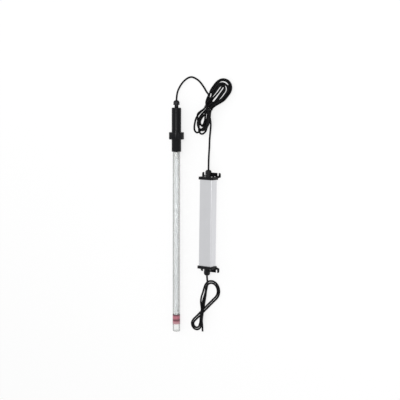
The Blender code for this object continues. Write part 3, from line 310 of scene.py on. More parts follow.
class LAMP_PG_head(bpy.types.PropertyGroup):
    """Socket, union nut and head, stations along the lamp's axis."""

    socket_radius: length("Socket radius", 0.016, "Outside of the sleeve's socket")
    socket_low: length("Socket low", -0.041, "Lower end of the socket")
    flange_low: length("Flange low", 0.0066, "Underside of the socket's flange")
    flange_high: length("Flange high", 0.0106, "Top of the socket's flange")
    thread_radius: length("Thread radius", 0.0201, "Outside of the threaded collar")
    nut_length: length("Nut length", 0.024, "Height of the union nut")
    nut_lip: length("Nut lip", 0.004, "Inward lip under the slip ring")
    nut_root: length("Nut root", 0.0232, "Radius between the ribs")
    nut_rib: length("Rib height", 0.0018, "How far the ribs stand out")
    nut_ribs: IntProperty(name="Ribs", description="Number of grip ribs", default=12, min=3)
    radius: length("Head radius", 0.016, "Outside of the head")
    low: length("Head low", 0.0109, "Underside of the threaded collar")
    high: length("Head high", 0.106, "Top of the head")
    wall: length("Head wall", 0.003, "Thickness of the head's wall")


class LAMP_PG_gland(bpy.types.PropertyGroup):
    """Cable glands, heights from the wall that each one stands on."""

    stem_radius: length("Stem radius", 0.006, "Threaded stem")
    neck_radius: length("Neck radius", 0.0066, "Round neck on the head")
    neck_height: length("Neck height", 0.0085, "Round neck on the head")
    hexagon: length("Hexagon", 0.017, "Across the flats of a ballast gland's collar")
    hexagon_height: length("Hexagon height", 0.007, "Collar of a ballast gland")
    nut_hexagon: length("Nut hexagon", 0.0186, "Across the flats of a dome nut")
    nut_height: length("Nut height", 0.0155, "Dome nut from skirt to tip")
    nut_skirt: length("Skirt", 0.0068, "Straight part of a dome nut")
    tip_wall: length("Tip wall", 0.0014, "Wall round the cord at the dome's tip")


class LAMP_PG_ballast(bpy.types.PropertyGroup):
    """Aluminium case, end caps and screws."""

    place: FloatVectorProperty(
        name="Place", description="Middle of the case", default=(0.05823, -0.0103222, 0.019),
        subtype="TRANSLATION", precision=5)
    width: length("Case width", 0.050, "Across the extrusion")
    height: length("Case height", 0.030, "Depth of the extrusion")
    length: length("Case length", 0.293, "Length of the extrusion")
    wall: length("Case wall", 0.0022, "Thickness of the extrusion")
    corner: length("Case corner", 0.004, "Rounding of the long edges")
    overhang: length("Cap overhang", 0.004, "How far a cap stands out from the case")
    gasket: length("Gasket room", 0.0016, "From the case's end to the cap's plate")
    plate: length("Cap plate", 0.005, "Thickness of a cap's plate")
    rim: length("Cap rim", 0.003, "How far a cap reaches over the case")
    cap_corner: length("Cap corner", 0.006, "Rounding of a cap's corners")
    flange_width: length("Flange width", 0.074, "Across the wall flange")
    flange: length("Flange", 0.003, "Thickness of the wall flange")
    flange_reach: length("Flange reach", 0.013, "How far the flange stands out from the plate")
    slot_width: length("Slot width", 0.006, "Open screw slots")
    slot_depth: length("Slot depth", 0.010, "Open screw slots")
    slot_span: length("Slot span", 0.053, "Between the screw slots")
    screw_head: length("Screw head", 0.0056, "Diameter of a screw's head")
    screw_height: length("Screw height", 0.002, "Height of a screw's head")
    screw_shank: length("Screw shank", 0.0027, "Diameter of a screw")
    screw_length: length("Screw length", 0.014, "Length of a screw under its head")


class LAMP_PG_cord(bpy.types.PropertyGroup):
    """Rubber cords and the strap round the hank."""

    diameter: length("Cord diameter", 0.0062, "Both cords")
    step: length("Cord step", 0.003, "Distance between the points of a cord's line")
    strap_width: length("Strap width", 0.003, "Strap round the hank")
    strap: length("Strap", 0.0008, "Thickness of the strap")


class LAMP_PG_finish(bpy.types.PropertyGroup):
    """Colours of the finishes."""

    plastic: colour("Plastic", (0.0050, 0.0052, 0.0064), "Moulded head, nuts and caps")
    rubber: colour("Rubber", (0.0050, 0.0050, 0.0058), "Jacket of the cords")
    aluminium: colour("Aluminium", (0.715, 0.72, 0.74), "Anodised case")
    quartz: colour("Quartz", (0.97, 0.975, 0.97), "Tint of the sleeve")
    lamp: colour("Lamp glass", (0.985, 0.985, 0.985), "Tint of the lamp")
    ceramic: colour("Ceramic", (0.66, 0.66, 0.655), "Base and end cap of the lamp")
    band: colour("Band", (0.58, 0.20, 0.26), "Red band near the sleeve's tip")


class LAMP_PG_stage(bpy.types.PropertyGroup):
    """Camera, lamps and floor."""

    target: FloatVectorProperty(
        name="Target", description="Point in the middle of the picture", default=(0.0121, 0.0612, 0.0),
        subtype="TRANSLATION")
    toward: FloatVectorProperty(
        name="Toward camera", description="Direction from the target to the camera",
        default=(0.5756, 0.0967, 0.8120), subtype="DIRECTION")
    distance: length("Distance", 4.0, "From the target to the camera")
    roll: FloatProperty(
        name="Roll", description="Turn of the camera about its view", default=math.radians(0.8),
        subtype="ANGLE")
    lens: FloatProperty(name="Lens", description="Focal length", default=107.8, unit="CAMERA")
    key: FloatProperty(name="Key", description="Power of the key lamp", default=26.0, unit="POWER")
    sky: FloatProperty(name="Sky", description="Brightness of the world", default=0.80)


# Shader maths

class Wire:
    """An output socket that takes plain arithmetic."""

    def __init__(self, look, socket):
        self.look = look
        self.socket = socket

    def __add__(self, other):
        return self.look.math("ADD", self, other)

    def __radd__(self, other):
        return self.look.math("ADD", other, self)

    def __sub__(self, other):
        return self.look.math("SUBTRACT", self, other)

    def __rsub__(self, other):
        return self.look.math("SUBTRACT", other, self)

    def __mul__(self, other):
        return self.look.math("MULTIPLY", self, other)

    def __rmul__(self, other):
        return self.look.math("MULTIPLY", other, self)

    def __truediv__(self, other):
        return self.look.math("DIVIDE", self, other)

    def __rtruediv__(self, other):
        return self.look.math("DIVIDE", other, self)


class Look:
    """Node tree of a material or of the world."""

    def __init__(self, owner):
        owner.use_nodes = True
        self.owner = owner
        self.tree = owner.node_tree
        self.tree.nodes.clear()

    def node(self, kind, settings=None, sockets=None, out=0):
        """A node of that type, its settings set first, then its sockets' values or links."""
        made = self.tree.nodes.new(kind)
        for key, value in (settings or {}).items():
            setattr(made, key, value)
        for key, value in (sockets or {}).items():
            if isinstance(value, Wire):
                self.tree.links.new(value.socket, made.inputs[key])
            else:
                made.inputs[key].default_value = value
        return Wire(self, made.outputs[out]) if made.outputs else None

    def math(self, operation, first, second):
        return self.node("ShaderNodeMath", {"operation": operation}, {0: first, 1: second})

    def at(self, stretch=(1.0, 1.0, 1.0)):
        """Object coordinates, stretched."""
        place = self.node("ShaderNodeTexCoord", out="Object")
        return self.node("ShaderNodeVectorMath", {"operation": "MULTIPLY"}, {0: place, 1: stretch})

    def noise(self, place, scale, detail=2.0):
        return self.node("ShaderNodeTexNoise", None, {"Vector": place, "Scale": scale, "Detail": detail})

    def band(self, value, low, high):
        """0 below low, 1 above high, smooth between."""
        return self.node(
            "ShaderNodeMapRange", {"interpolation_type": "SMOOTHSTEP"},
            {"Value": value, "From Min": low, "From Max": high})

    def blend(self, share, first, second):
        """Colour from first to second."""
        return self.node(
            "ShaderNodeMix", {"data_type": "RGBA"},
            {0: share, 6: shade(first), 7: shade(second)}, out=2)

    def bump(self, height, strength, distance):
        return self.node(
            "ShaderNodeBump", None, {"Height": height, "Strength": strength, "Distance": distance})

    def ray(self, kind):
        """1 on rays of that kind, 0 on others."""
        return self.node("ShaderNodeLightPath", out=f"Is {kind} Ray")

    def surface(self, shader, volume=None):
        """Ends the tree in the output of its material or world."""
        kind = "World" if isinstance(self.owner, bpy.types.World) else "Material"
        sockets = {"Surface": shader}
        if volume:
            sockets["Volume"] = volume
        self.node("ShaderNodeOutput" + kind, None, sockets)

    def principled(self, sockets):
        return self.node("ShaderNodeBsdfPrincipled", None, sockets)


def shade(value):
    """A colour as four numbers; links pass through."""
    return value if isinstance(value, Wire) else (*value, 1.0)


def scaled(value, factor):
    return tuple(min(1.0, part * factor) for part in value)


# Finishes

def moulded_plastic(look, tint):
    """Fine moulded grain, handling marks in the gloss."""
    place = look.at()
    grain = look.noise(place, 1500.0, 3.0)
    rubbed = look.band(look.noise(place, 45.0, 5.0), 0.52, 0.68)
    look.surface(look.principled({
        "Base Color": look.blend(rubbed, tint, scaled(tint, 1.5)),
        "Roughness": 0.22 + 0.10 * rubbed + 0.08 * grain,
        "Specular IOR Level": 0.14,
        "Normal": look.bump(grain, 0.10, 0.0002),
    }))


def cord_jacket(look, tint):
    """Smooth rubber with a faint drag of the extruder and dull patches."""
    place = look.at()
    grain = look.noise(place, 900.0, 4.0)
    dull = look.noise(place, 60.0, 4.0)
    look.surface(look.principled({
        "Base Color": look.blend(look.band(dull, 0.45, 0.75), tint, scaled(tint, 1.7)),
        "Roughness": 0.36 + 0.16 * dull + 0.06 * grain,
        "Specular IOR Level": 0.06,
        "Normal": look.bump(grain, 0.08, 0.0002),
    }))


def seal_rubber(look):
    """Dull rubber of seals, gaskets and wires."""
    grain = look.noise(look.at(), 1200.0, 4.0)
    look.surface(look.principled({
        "Base Color": look.blend(grain, (0.006, 0.006, 0.007), (0.014, 0.014, 0.015)),
        "Roughness": 0.55 + 0.2 * grain,
        "Specular IOR Level": 0.25,
        "Normal": look.bump(grain, 0.15, 0.0002),
    }))


def strap_weave(look):
    """Woven strap: fine ribs across its length."""
    place = look.at()
    ribs = look.node(
        "ShaderNodeTexWave", {"wave_type": "BANDS", "bands_direction": "Z"},
        {"Vector": place, "Scale": 420.0, "Distortion": 0.6, "Detail": 1.0})
    fuzz = look.noise(place, 1600.0, 3.0)
    look.surface(look.principled({
        "Base Color": look.blend(ribs, (0.005, 0.005, 0.006), (0.013, 0.013, 0.014)),
        "Roughness": 0.6 + 0.25 * fuzz,
        "Specular IOR Level": 0.2,
        "Normal": look.bump(ribs * 0.7 + fuzz * 0.3, 0.4, 0.0003),
    }))


def anodised_aluminium(look, tint):
    """Satin anodised extrusion with die lines along its length."""
    lines = look.noise(look.at((1.0, 1.0, 0.004)), 2600.0, 3.0)
    clouds = look.noise(look.at(), 30.0, 4.0)
    look.surface(look.principled({
        "Base Color": look.blend(clouds, scaled(tint, 0.97), scaled(tint, 1.02)),
        "Metallic": 1.0,
        "Roughness": 0.27 + 0.08 * lines + 0.06 * clouds,
        "Normal": look.bump(lines, 0.05, 0.0001),
    }))


def bright_metal(look, tint, roughness):
    """Plated metal with fine marks and clouds."""
    place = look.at()
    marks = look.noise(place, 700.0, 4.0)
    clouds = look.noise(place, 120.0, 3.0)
    look.surface(look.principled({
        "Base Color": look.blend(clouds, scaled(tint, 0.85), tint),
        "Metallic": 1.0,
        "Roughness": roughness + 0.14 * marks,
        "Normal": look.bump(marks, 0.06, 0.0001),
    }))


def clear_glass(look, tint, edge, ior, absorption):
    """Glass that lets the lamps' light through; its colour is darkened toward its edges as a painted shade.
    """
    painted_edge_shade = look.node("ShaderNodeLayerWeight", None, {"Blend": 0.5}, out="Facing")
    draw = look.noise(look.at((1.0, 1.0, 0.02)), 160.0, 3.0)
    glass = look.principled({
        # painted shade: the base colour darkens toward the edges the view grazes, down to the tint times
        # edge
        "Base Color": look.blend(look.band(painted_edge_shade, 0.12, 0.55), tint, scaled(tint, edge)),
        "Roughness": 0.004 * draw,
        "Transmission Weight": 1.0,
        "IOR": ior,
    })
    clear = look.node("ShaderNodeBsdfTransparent", None, {"Color": (0.9, 0.9, 0.9, 1.0)})
    inside = look.node(
        "ShaderNodeVolumeAbsorption", None, {"Color": (0.34, 0.38, 0.36, 1.0), "Density": absorption})
    look.surface(
        look.node("ShaderNodeMixShader", None, {0: look.ray("Shadow"), 1: glass, 2: clear}), inside)


def glazed_ceramic(look, tint):
    """Pale ceramic with faint specks."""
    specks = look.noise(look.at(), 600.0, 4.0)
    look.surface(look.principled({
        "Base Color": look.blend(look.band(specks, 0.4, 0.7), tint, scaled(tint, 0.92)),
        "Roughness": 0.38 + 0.2 * specks,
        "Normal": look.bump(specks, 0.1, 0.0002),
    }))


def red_band(look, tint):
    """Printed see-through film: two dark rings and a pale lower field on red."""
    sizes = bpy.context.scene.lamp_sleeve
    along = look.node(
        "ShaderNodeSeparateXYZ", None, {0: look.node("ShaderNodeTexCoord", out="Object")}, out="Z")
    share = (along - sizes.band_low) / (sizes.band_high - sizes.band_low)
    upper_ring = look.band(share, 0.78, 0.94)
    lower_ring = look.band(share, 0.24, 0.42) * (1.0 - look.band(share, 0.44, 0.60))
    pale = 1.0 - look.band(share, 0.05, 0.40)
    grain = look.noise(look.at(), 900.0, 3.0)
    field = look.blend(pale, tint, (0.60, 0.36, 0.39))
    dark = upper_ring + lower_ring
    look.surface(look.principled({
        "Base Color": look.blend(dark * 0.85, field, scaled(tint, 0.22)),
        "Roughness": 0.30 + 0.12 * grain,
        "Transmission Weight": 0.3,
        "IOR": 1.46,
        "Normal": look.bump(grain, 0.05, 0.0001),
    }))


def mottled(look, low, high, roughness, scale):
    """Plain moulded or coated surface of the parts inside the case."""
    grain = look.noise(look.at(), scale, 4.0)
    look.surface(look.principled({
        "Base Color": look.blend(grain, low, high),
        "Roughness": roughness + 0.15 * grain,
        "Normal": look.bump(grain, 0.12, 0.0002),
    }))


FINISHES = {                 # how each is made, and with what: a word is a colour of the finish properties
    "moulded_plastic": (moulded_plastic, "plastic"),
    "cord_jacket": (cord_jacket, "rubber"),
    "seal_rubber": (seal_rubber,),
    "strap_weave": (strap_weave,),
    "anodised_aluminium": (anodised_aluminium, "aluminium"),
    "zinc_steel": (bright_metal, (0.50, 0.50, 0.51), 0.26),
    "bright_nickel": (bright_metal, (0.66, 0.63, 0.58), 0.20),
    # for the glasses, the first number is the share of the tint kept in the painted shade at their edges
    "sleeve_quartz": (clear_glass, "quartz", 0.40, 1.46, 40.0),
    "lamp_glass": (clear_glass, "lamp", 0.90, 1.12, 10.0),
    "glazed_ceramic": (glazed_ceramic, "ceramic"),
    "red_band": (red_band, "band"),
    "board_green": (mottled, (0.012, 0.085, 0.035), (0.025, 0.14, 0.06), 0.35, 500.0),
    "ferrite_grey": (mottled, (0.030, 0.030, 0.031), (0.060, 0.058, 0.056), 0.5, 900.0),
    "can_blue": (mottled, (0.020, 0.035, 0.09), (0.035, 0.055, 0.13), 0.3, 300.0),
    "film_red": (mottled, (0.28, 0.045, 0.02), (0.38, 0.07, 0.035), 0.3, 400.0),
    "terminal_grey": (mottled, (0.20, 0.21, 0.22), (0.27, 0.28, 0.29), 0.42, 700.0),
}


def finish(name):
    """The finish of that name, made on first use."""
    found = bpy.data.materials.get(name)
    if found:
        return found
    make, *values = FINISHES[name]
    colours = bpy.context.scene.lamp_finish
    look = Look(bpy.data.materials.new(name))
    make(look, *(getattr(colours, value) if isinstance(value, str) else value for value in values))
    return look.owner


# Mesh helpers

def put(name, data, place, look, body, slot, *nodes):
    """A piece at its place, riding on a body and standing for CAD nodes."""
    obj = bpy.data.objects.new(name, data)
    bpy.context.scene.collection.objects.link(obj)
    obj.matrix_world = place
    data.materials.clear()
    data.materials.append(finish(look))
    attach(obj, body)
    if nodes:
        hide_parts(*nodes)
    return obj


def shaded(mesh):
    """Smooth faces with crisp edges where the shape turns."""
    shell = bmesh.new()
    shell.from_mesh(mesh)
    bmesh.ops.remove_doubles(shell, verts=shell.verts, dist=WELD)
    bmesh.ops.recalc_face_normals(shell, faces=shell.faces)
    shell.to_mesh(mesh)
    shell.free()
    mesh.shade_smooth()
    mesh.set_sharp_from_angle(angle=SMOOTH_ANGLE)
    return mesh


def level(obj):
    """Normals that keep broad flat faces flat."""
    weighted = obj.modifiers.new("Weighted normals", "WEIGHTED_NORMAL")
    weighted.keep_sharp = True
    weighted.weight = 80
    return obj


def softened(profile, size, ring=True, count=4):
    """The profile with its corners rounded, as moulded and turned edges are."""
    points = []
    last = len(profile) - 1
    for i, corner in enumerate(profile):
        if not ring and i in (0, last):
            points.append(corner)
            continue
        here = Vector(corner)
        before = Vector(profile[i - 1]) - here
        after = Vector(profile[(i + 1) % (last + 1)]) - here
        if before.angle(after) > FLAT_ANGLE:
            points.append(corner)
            continue
        cut = min(size, 0.45 * before.length, 0.45 * after.length)
        start = here + before.normalized() * cut
        end = here + after.normalized() * cut
        for k in range(count + 1):
            share = k / count
            points.append(tuple(start.lerp(here, share).lerp(here.lerp(end, share), share)))
    return points


def lathe(name, profile, steps, ring=True, swell=None):
    """A profile of (radius, height) turned about Z; swell(radius, angle) changes a radius round the turn."""
    shell = bmesh.new()
    rows = []
    for radius, height in profile:
        if radius < TINY:
            rows.append([shell.verts.new((0.0, 0.0, height))] * steps)
            continue
        row = []
        for i in range(steps):
            angle = 2 * math.pi * i / steps
            out = swell(radius, angle) if swell else radius
            row.append(shell.verts.new((out * math.cos(angle), out * math.sin(angle), height)))
        rows.append(row)
    pairs = list(zip(rows, rows[1:]))
    if ring:
        pairs.append((rows[-1], rows[0]))
    for low, high in pairs:
        for i in range(steps):
            j = (i + 1) % steps
            corners = list(dict.fromkeys((low[i], low[j], high[j], high[i])))
            if len(corners) > 2:
                shell.faces.new(corners)
    mesh = bpy.data.meshes.new(name)
    shell.to_mesh(mesh)
    shell.free()
    return shaded(mesh)


def turned(name, profile, steps, place, look, slot, *nodes, body=ROOT, ring=True, swell=None):
    """A piece turned from a profile, at its place."""
    return put(name, lathe(name, profile, steps, ring, swell), place, look, body, slot, *nodes)


def loft(name, rings):
    """Closed body through rings of equally many points, its two ends filled."""
    shell = bmesh.new()
    rows = [[shell.verts.new(point) for point in ring] for ring in rings]
    count = len(rows[0])
    for low, high in zip(rows, rows[1:]):
        for i in range(count):
            j = (i + 1) % count
            shell.faces.new((low[i], low[j], high[j], high[i]))
    shell.faces.new(rows[0])
    shell.faces.new(rows[-1])
    mesh = bpy.data.meshes.new(name)
    shell.to_mesh(mesh)
    shell.free()
    return shaded(mesh)


def bow(centre, radii, start, end, count):
    """Points along part of an ellipse, angles in degrees."""
    points = []
    for i in range(count + 1):
        angle = math.radians(start + (end - start) * i / count)
        points.append((centre[0] + radii[0] * math.cos(angle), centre[1] + radii[1] * math.sin(angle)))
    return points


def arc(x, y, radius, start, end, count):
    """Points along part of a circle."""
    return bow((x, y), (radius, radius), start, end, count)


def rounded(width, height, radius, count=10):
    """Outline of a rounded rectangle."""
    points = []
    across, up = width / 2 - radius, height / 2 - radius
    for quarter, (x, y) in enumerate(((across, up), (-across, up), (-across, -up), (across, -up))):
        points += arc(x, y, radius, 90 * quarter, 90 * quarter + 90, count)
    return points


def evaluated(name, obj):
    """Mesh of an object with its modifiers or its curve's form."""
    bpy.context.view_layer.update()
    mesh = bpy.data.meshes.new_from_object(obj.evaluated_get(bpy.context.evaluated_depsgraph_get()))
    mesh.name = name
    return mesh


def plate(name, outlines, low, high, edge):
    """Flat outlines in XY, the first one outside, extruded along Z with rounded edges."""
    curve = bpy.data.curves.new(name + "_outline", "CURVE")
    curve.dimensions = "2D"
    curve.fill_mode = "BOTH"
    curve.extrude = (high - low) / 2 - edge
    curve.bevel_depth = edge
    curve.bevel_resolution = 2
    curve.offset = -edge
    for outline in outlines:
        spline = curve.splines.new("POLY")
        spline.points.add(len(outline) - 1)
        for point, (x, y) in zip(spline.points, outline):
            point.co = (x, y, 0.0, 1.0)
        spline.use_cyclic_u = True
    sketch = bpy.data.objects.new(name, curve)
    bpy.context.scene.collection.objects.link(sketch)
    mesh = evaluated(name, sketch)
    bpy.data.objects.remove(sketch)
    mesh.transform(Matrix.Translation((0.0, 0.0, (low + high) / 2)))
    return shaded(mesh)


def strand(name, points, radius, resolution):
    """Curve of round section through the points."""
    curve = bpy.data.curves.new(name, "CURVE")
    curve.dimensions = "3D"
    curve.bevel_depth = radius
    curve.bevel_resolution = resolution
    curve.use_fill_caps = True
    spline = curve.splines.new("POLY")
    spline.points.add(len(points) - 1)
    for point, co in zip(spline.points, points):
        point.co = (*co, 1.0)
    return curve


def combined(name, mesh, other, operation):
    """The mesh joined with another or cut by it."""
    base = bpy.data.objects.new(name, mesh)
    tool = bpy.data.objects.new(name + "_tool", other)
    for obj in (base, tool):
        bpy.context.scene.collection.objects.link(obj)
    boolean = base.modifiers.new("Boolean", "BOOLEAN")
    boolean.operation = operation
    boolean.solver = "EXACT"
    boolean.object = tool
    result = evaluated(name, base)
    bpy.data.objects.remove(base)
    bpy.data.objects.remove(tool)
    return shaded(result)


def rod(diameter, low, high, place=(0.0, 0.0)):
    """Round pin or cutter along Z."""
    radius = diameter / 2
    mesh = lathe("rod", [(0.0, low), (radius, low), (radius, high), (0.0, high)], ROD_STEPS, ring=False)
    mesh.transform(Matrix.Translation((*place, 0.0)))
    return mesh


def hexagonal(across_flats):
    """Swell that keeps a turned form inside a hexagon."""
    def swell(radius, angle):
        turn = (angle + math.pi / 6) % (math.pi / 3) - math.pi / 6
        return min(radius, across_flats / 2 / math.cos(turn))
    return swell


def raised(place, height):
    """A frame moved along its own Z."""
    return place @ Matrix.Translation((0.0, 0.0, height))


def lamp_place():
    """Frame on the lamp's axis, +Z toward the gland, +Y down."""
    sizes = bpy.context.scene.lamp_sleeve
    return Matrix.Translation(sizes.axis) @ Matrix.Rotation(sizes.lie - math.pi / 2, 4, "X")


def ballast_place():
    """Frame in the middle of the case, +Z toward the lamp side, +Y down."""
    sizes = bpy.context.scene.lamp_ballast
    return Matrix.Translation(sizes.place) @ Matrix.Rotation(-math.pi / 2, 4, "X")


def end_place(side):
    """Frame at the case's end, +Z outward."""
    half = bpy.context.scene.lamp_ballast.length / 2
    if side == "lamp_side":
        return raised(ballast_place(), half)
    return raised(ballast_place(), -half) @ Matrix.Rotation(math.pi, 4, "Y")


def wall_face():
    """Outer face of a cap's plate, from the case's end."""
    sizes = bpy.context.scene.lamp_ballast
    return sizes.gasket + sizes.plate


def gland_tip(side):
    """Point where the cord leaves a dome nut, and its outward direction."""
    glands = bpy.context.scene.lamp_gland
    if side == "head":
        place = lamp_place()
        height = bpy.context.scene.lamp_head.high + glands.neck_height
    else:
        place = end_place(side)
        height = wall_face() + glands.hexagon_height
    tip = place @ Vector((0.0, 0.0, height + FIT + glands.nut_height))
    return tip, (place.to_3x3() @ UP).normalized()


# Cord routes

def smooth_step(x):
    x = min(max(x, 0.0), 1.0)
    return x * x * (3 - 2 * x)


def through(points, share):
    """Point on a smooth curve through the points; share counts spans from the first point."""
    last = len(points) - 1
    i = min(int(share), last - 1)
    t = share - i
    p0, p1, p2, p3 = (Vector(points[min(max(k, 0), last)]) for k in (i - 1, i, i + 1, i + 2))
    return 0.5 * (2 * p1 + (p2 - p0) * t + (2 * p0 - 5 * p1 + 4 * p2 - p3) * t ** 2
                  + (3 * p1 - p0 - 3 * p2 + p3) * t ** 3)


def even_run(points, step):
    """Evenly spaced points on the smooth curve through the points."""
    fine = 24
    dense = [through(points, i / fine) for i in range(fine * (len(points) - 1) + 1)]
    reach = [0.0]
    for a, b in zip(dense, dense[1:]):
        reach.append(reach[-1] + (b - a).length)
    count = max(1, round(reach[-1] / step))
    run = []
    k = 0
    for i in range(count + 1):
        goal = reach[-1] * i / count
        while k < len(dense) - 2 and reach[k + 1] < goal:
            k += 1
        run.append(dense[k].lerp(dense[k + 1], (goal - reach[k]) / (reach[k + 1] - reach[k])))
    return run


def triangle_wave(turn):
    """Spiral place: it winds in over one layer and out again over the next."""
    layer = HANK_LOOPS / HANK_LAYERS
    inside = turn % (2 * layer)
    return inside if inside <= layer else 2 * layer - inside


def hank_place(a, b, z):
    """A hank's point in the part's frame: a along the hank, b across it."""
    along = Vector((math.sin(HANK_TURN), math.cos(HANK_TURN), 0.0))
    across = Vector((math.cos(HANK_TURN), -math.sin(HANK_TURN), 0.0))
    bend = HANK_BEND * (math.hypot(a, HANK_WAIST_BEND) - HANK_WAIST_BEND)
    tip, _ = gland_tip("head")
    waist = Vector((tip.x + HANK_WAIST[0], tip.y + HANK_WAIST[1], 0.0))
    return waist + along * a + across * (b + bend) + UP * z


def hank_local(turn):
    """Place along, across and above the table for a number of turns from an upper fold."""
    phase = 2 * math.pi * turn + HANK_WARP * math.sin(4 * math.pi * turn)
    reach, wide, middle, belly = HANK_FOLDS[min(round(2 * turn), len(HANK_FOLDS) - 1)]
    share = abs(math.cos(phase))
    lobe, lean_0 = HANK_LOBE_DOWN, HANK_LEAN_DOWN
    if math.cos(phase) > 0:
        lobe, lean_0 = HANK_LOBE_UP, HANK_LEAN_UP
    a = reach * math.cos(phase)
    rho = triangle_wave(turn) if turn < HANK_LOOPS else HANK_LOOPS - turn
    waist = HANK_WAIST_HALF - HANK_WAIST_STEP * rho
    half = waist + (wide - waist) * smooth_step(lobe * share) + belly * math.sin(math.pi * share) ** 2
    into_fold = min(max((abs(a) - reach + wide) / wide, 0.0), 1.0)
    fold = math.sqrt(1.0 - into_fold ** 2)
    b = middle * smooth_step((share - lean_0) / HANK_LEAN) - math.copysign(fold, math.sin(phase)) * half
    per_layer = HANK_LOOPS / HANK_LAYERS
    layers = 0.0
    for layer in range(1, HANK_LAYERS):
        layers += smooth_step((turn - layer * per_layer) / HANK_CLIMB)
    lift = HANK_LIFT * math.exp(-(a / HANK_LIFT_REACH) ** 2)
    return a, b, bpy.context.scene.lamp_cord.diameter / 2 + REST + lift + HANK_PITCH * layers


def lamp_cord_route():
    """From inside the head's gland, over the arch, round the hank and down into the ballast's gland."""
    tip, out = gland_tip("head")
    corner = Vector((tip.x, tip.y, 0.0))
    points = [tip - out * CORD_INSIDE, tip]
    points += [corner + Vector(p) for p in ARCH_POINTS]
    points.append(hank_place(*HANK_ENTRY))
    points += [hank_place(*hank_local(i / LOOP_POINTS)) for i in range(HANK_START + 1, HANK_END + 1)]
    points += [hank_place(*p) for p in HANK_OVER_POINTS]
    points += [corner + Vector(p) for p in DROP_POINTS]
    tip, out = gland_tip("lamp_side")
    return points + [tip, tip - out * CORD_INSIDE]


def eight_ring():
    """One closed turn of the figure of eight, from the top loop's left side down the bundle."""
    ring = list(BUNDLE_POINTS)
    ring += bow(BOTTOM_CENTRE, BOTTOM_RADII, *BOTTOM_BOW, BOW_STEPS)
    ring += list(DIAGONAL_POINTS)
    ring += bow(TOP_CENTRE, TOP_RADII, *TOP_BOW, BOW_STEPS)
    return ring[-1:] + ring[:-1]


def eight_point(turn, ring):
    """Point of a turn: each is stepped to the right of the last, and its bundle rises over the diagonals."""
    count = len(ring)
    closed = [(*ring[k % count], 0.0) for k in range(-2, count + 3)]
    place = turn % 1.0 * count
    here = through(closed, place + 2)
    ahead = through(closed, place + 2.05) - through(closed, place + 1.95)
    right = Vector((ahead.y, -ahead.x, 0.0)).normalized()
    rise = 0.0
    if place <= len(BUNDLE_POINTS) + 1:
        rise = 1.0 - smooth_step((EIGHT_DOWN - here.y) / EIGHT_RAMP)
        if turn >= 1.0:
            rise *= smooth_step((EIGHT_UP - here.y) / EIGHT_RAMP)
    here += right * EIGHT_STEP * turn
    here.z = bpy.context.scene.lamp_cord.diameter / 2 + REST + EIGHT_RISE * rise
    return here


def mains_cord_route():
    """From inside the ballast's gland, twice round the figure of eight to the bare end."""
    tip, out = gland_tip("mains_side")
    corner = Vector((tip.x, tip.y, 0.0))
    ring = eight_ring()
    points = [tip - out * CORD_INSIDE, tip]
    points += [corner + Vector(p) for p in LEAD_POINTS]
    count = EIGHT_TURNS * EIGHT_LOOP_POINTS
    points += [corner + eight_point(i / EIGHT_LOOP_POINTS, ring) for i in range(count)]
    return points + [corner + Vector(p) for p in TAIL_POINTS]


def cord_piece(name, route, *nodes):
    """A round cord along a route; returns the piece and its length."""
    sizes = bpy.context.scene.lamp_cord
    run = even_run(route, sizes.step)
    curve = strand(name, run, sizes.diameter / 2, 4)
    obj = put(name, curve, Matrix.Identity(4), "cord_jacket", ROOT, "cord_rubber", *nodes)
    return obj, sum((b - a).length for a, b in zip(run, run[1:]))


def belt(points, radius):
    """Outline of a band pulled round circles of one radius at points given anticlockwise."""
    outline = []
    for i, point in enumerate(points):
        before = Vector(point) - Vector(points[i - 1])
        after = Vector(points[(i + 1) % len(points)]) - Vector(point)
        start = math.atan2(before.y, before.x) - math.pi / 2
        sweep = (math.atan2(after.y, after.x) - math.atan2(before.y, before.x)) % (2 * math.pi)
        for step in range(BELT_STEPS + 1):
            angle = start + sweep * step / BELT_STEPS
            outline.append((point[0] + radius * math.cos(angle), point[1] + radius * math.sin(angle)))
    return outline


# Operators

class LAMP_OT_cords(bpy.types.Operator):
    """Make the lamp's cord with its hank and strap, and the mains cord."""

    bl_idname = "lamp.cords"
    bl_label = "Cords"

    def execute(self, context):
        sizes = context.scene.lamp_cord
        strap = self.strap(sizes)
        cord, run = cord_piece(
            "lamp_cord", lamp_cord_route(), "lamp_cord_arch", "lamp_cord_hank", "lamp_cord_drop")
        cord, run = cord_piece("mains_cord", mains_cord_route(), "mains_cord_lead", "mains_cord_hank")
        return {"FINISHED"}

    def strap(self, sizes):
        """Flat strap pulled round the outermost passes of the hank's waist."""
        passes = [hank_local(turn)[1:] for turn in TIE_TURNS]
        inside = sizes.diameter / 2 + TIE_SLACK
        inner = belt(passes, inside)
        outer = belt(passes, inside + sizes.strap)
        wide = sizes.strap_width / 2
        mesh = plate("hank_strap", [outer, inner], -wide, wide, STRAP_EDGE)
        across = Vector((math.cos(HANK_TURN), -math.sin(HANK_TURN), 0.0))
        turn = Matrix((across, UP, across.cross(UP))).transposed().to_4x4()
        place = Matrix.Translation(hank_place(0.0, 0.0, 0.0)) @ turn
        return put("hank_strap", mesh, place, "strap_weave", ROOT, "tie_black", "hank_tie")


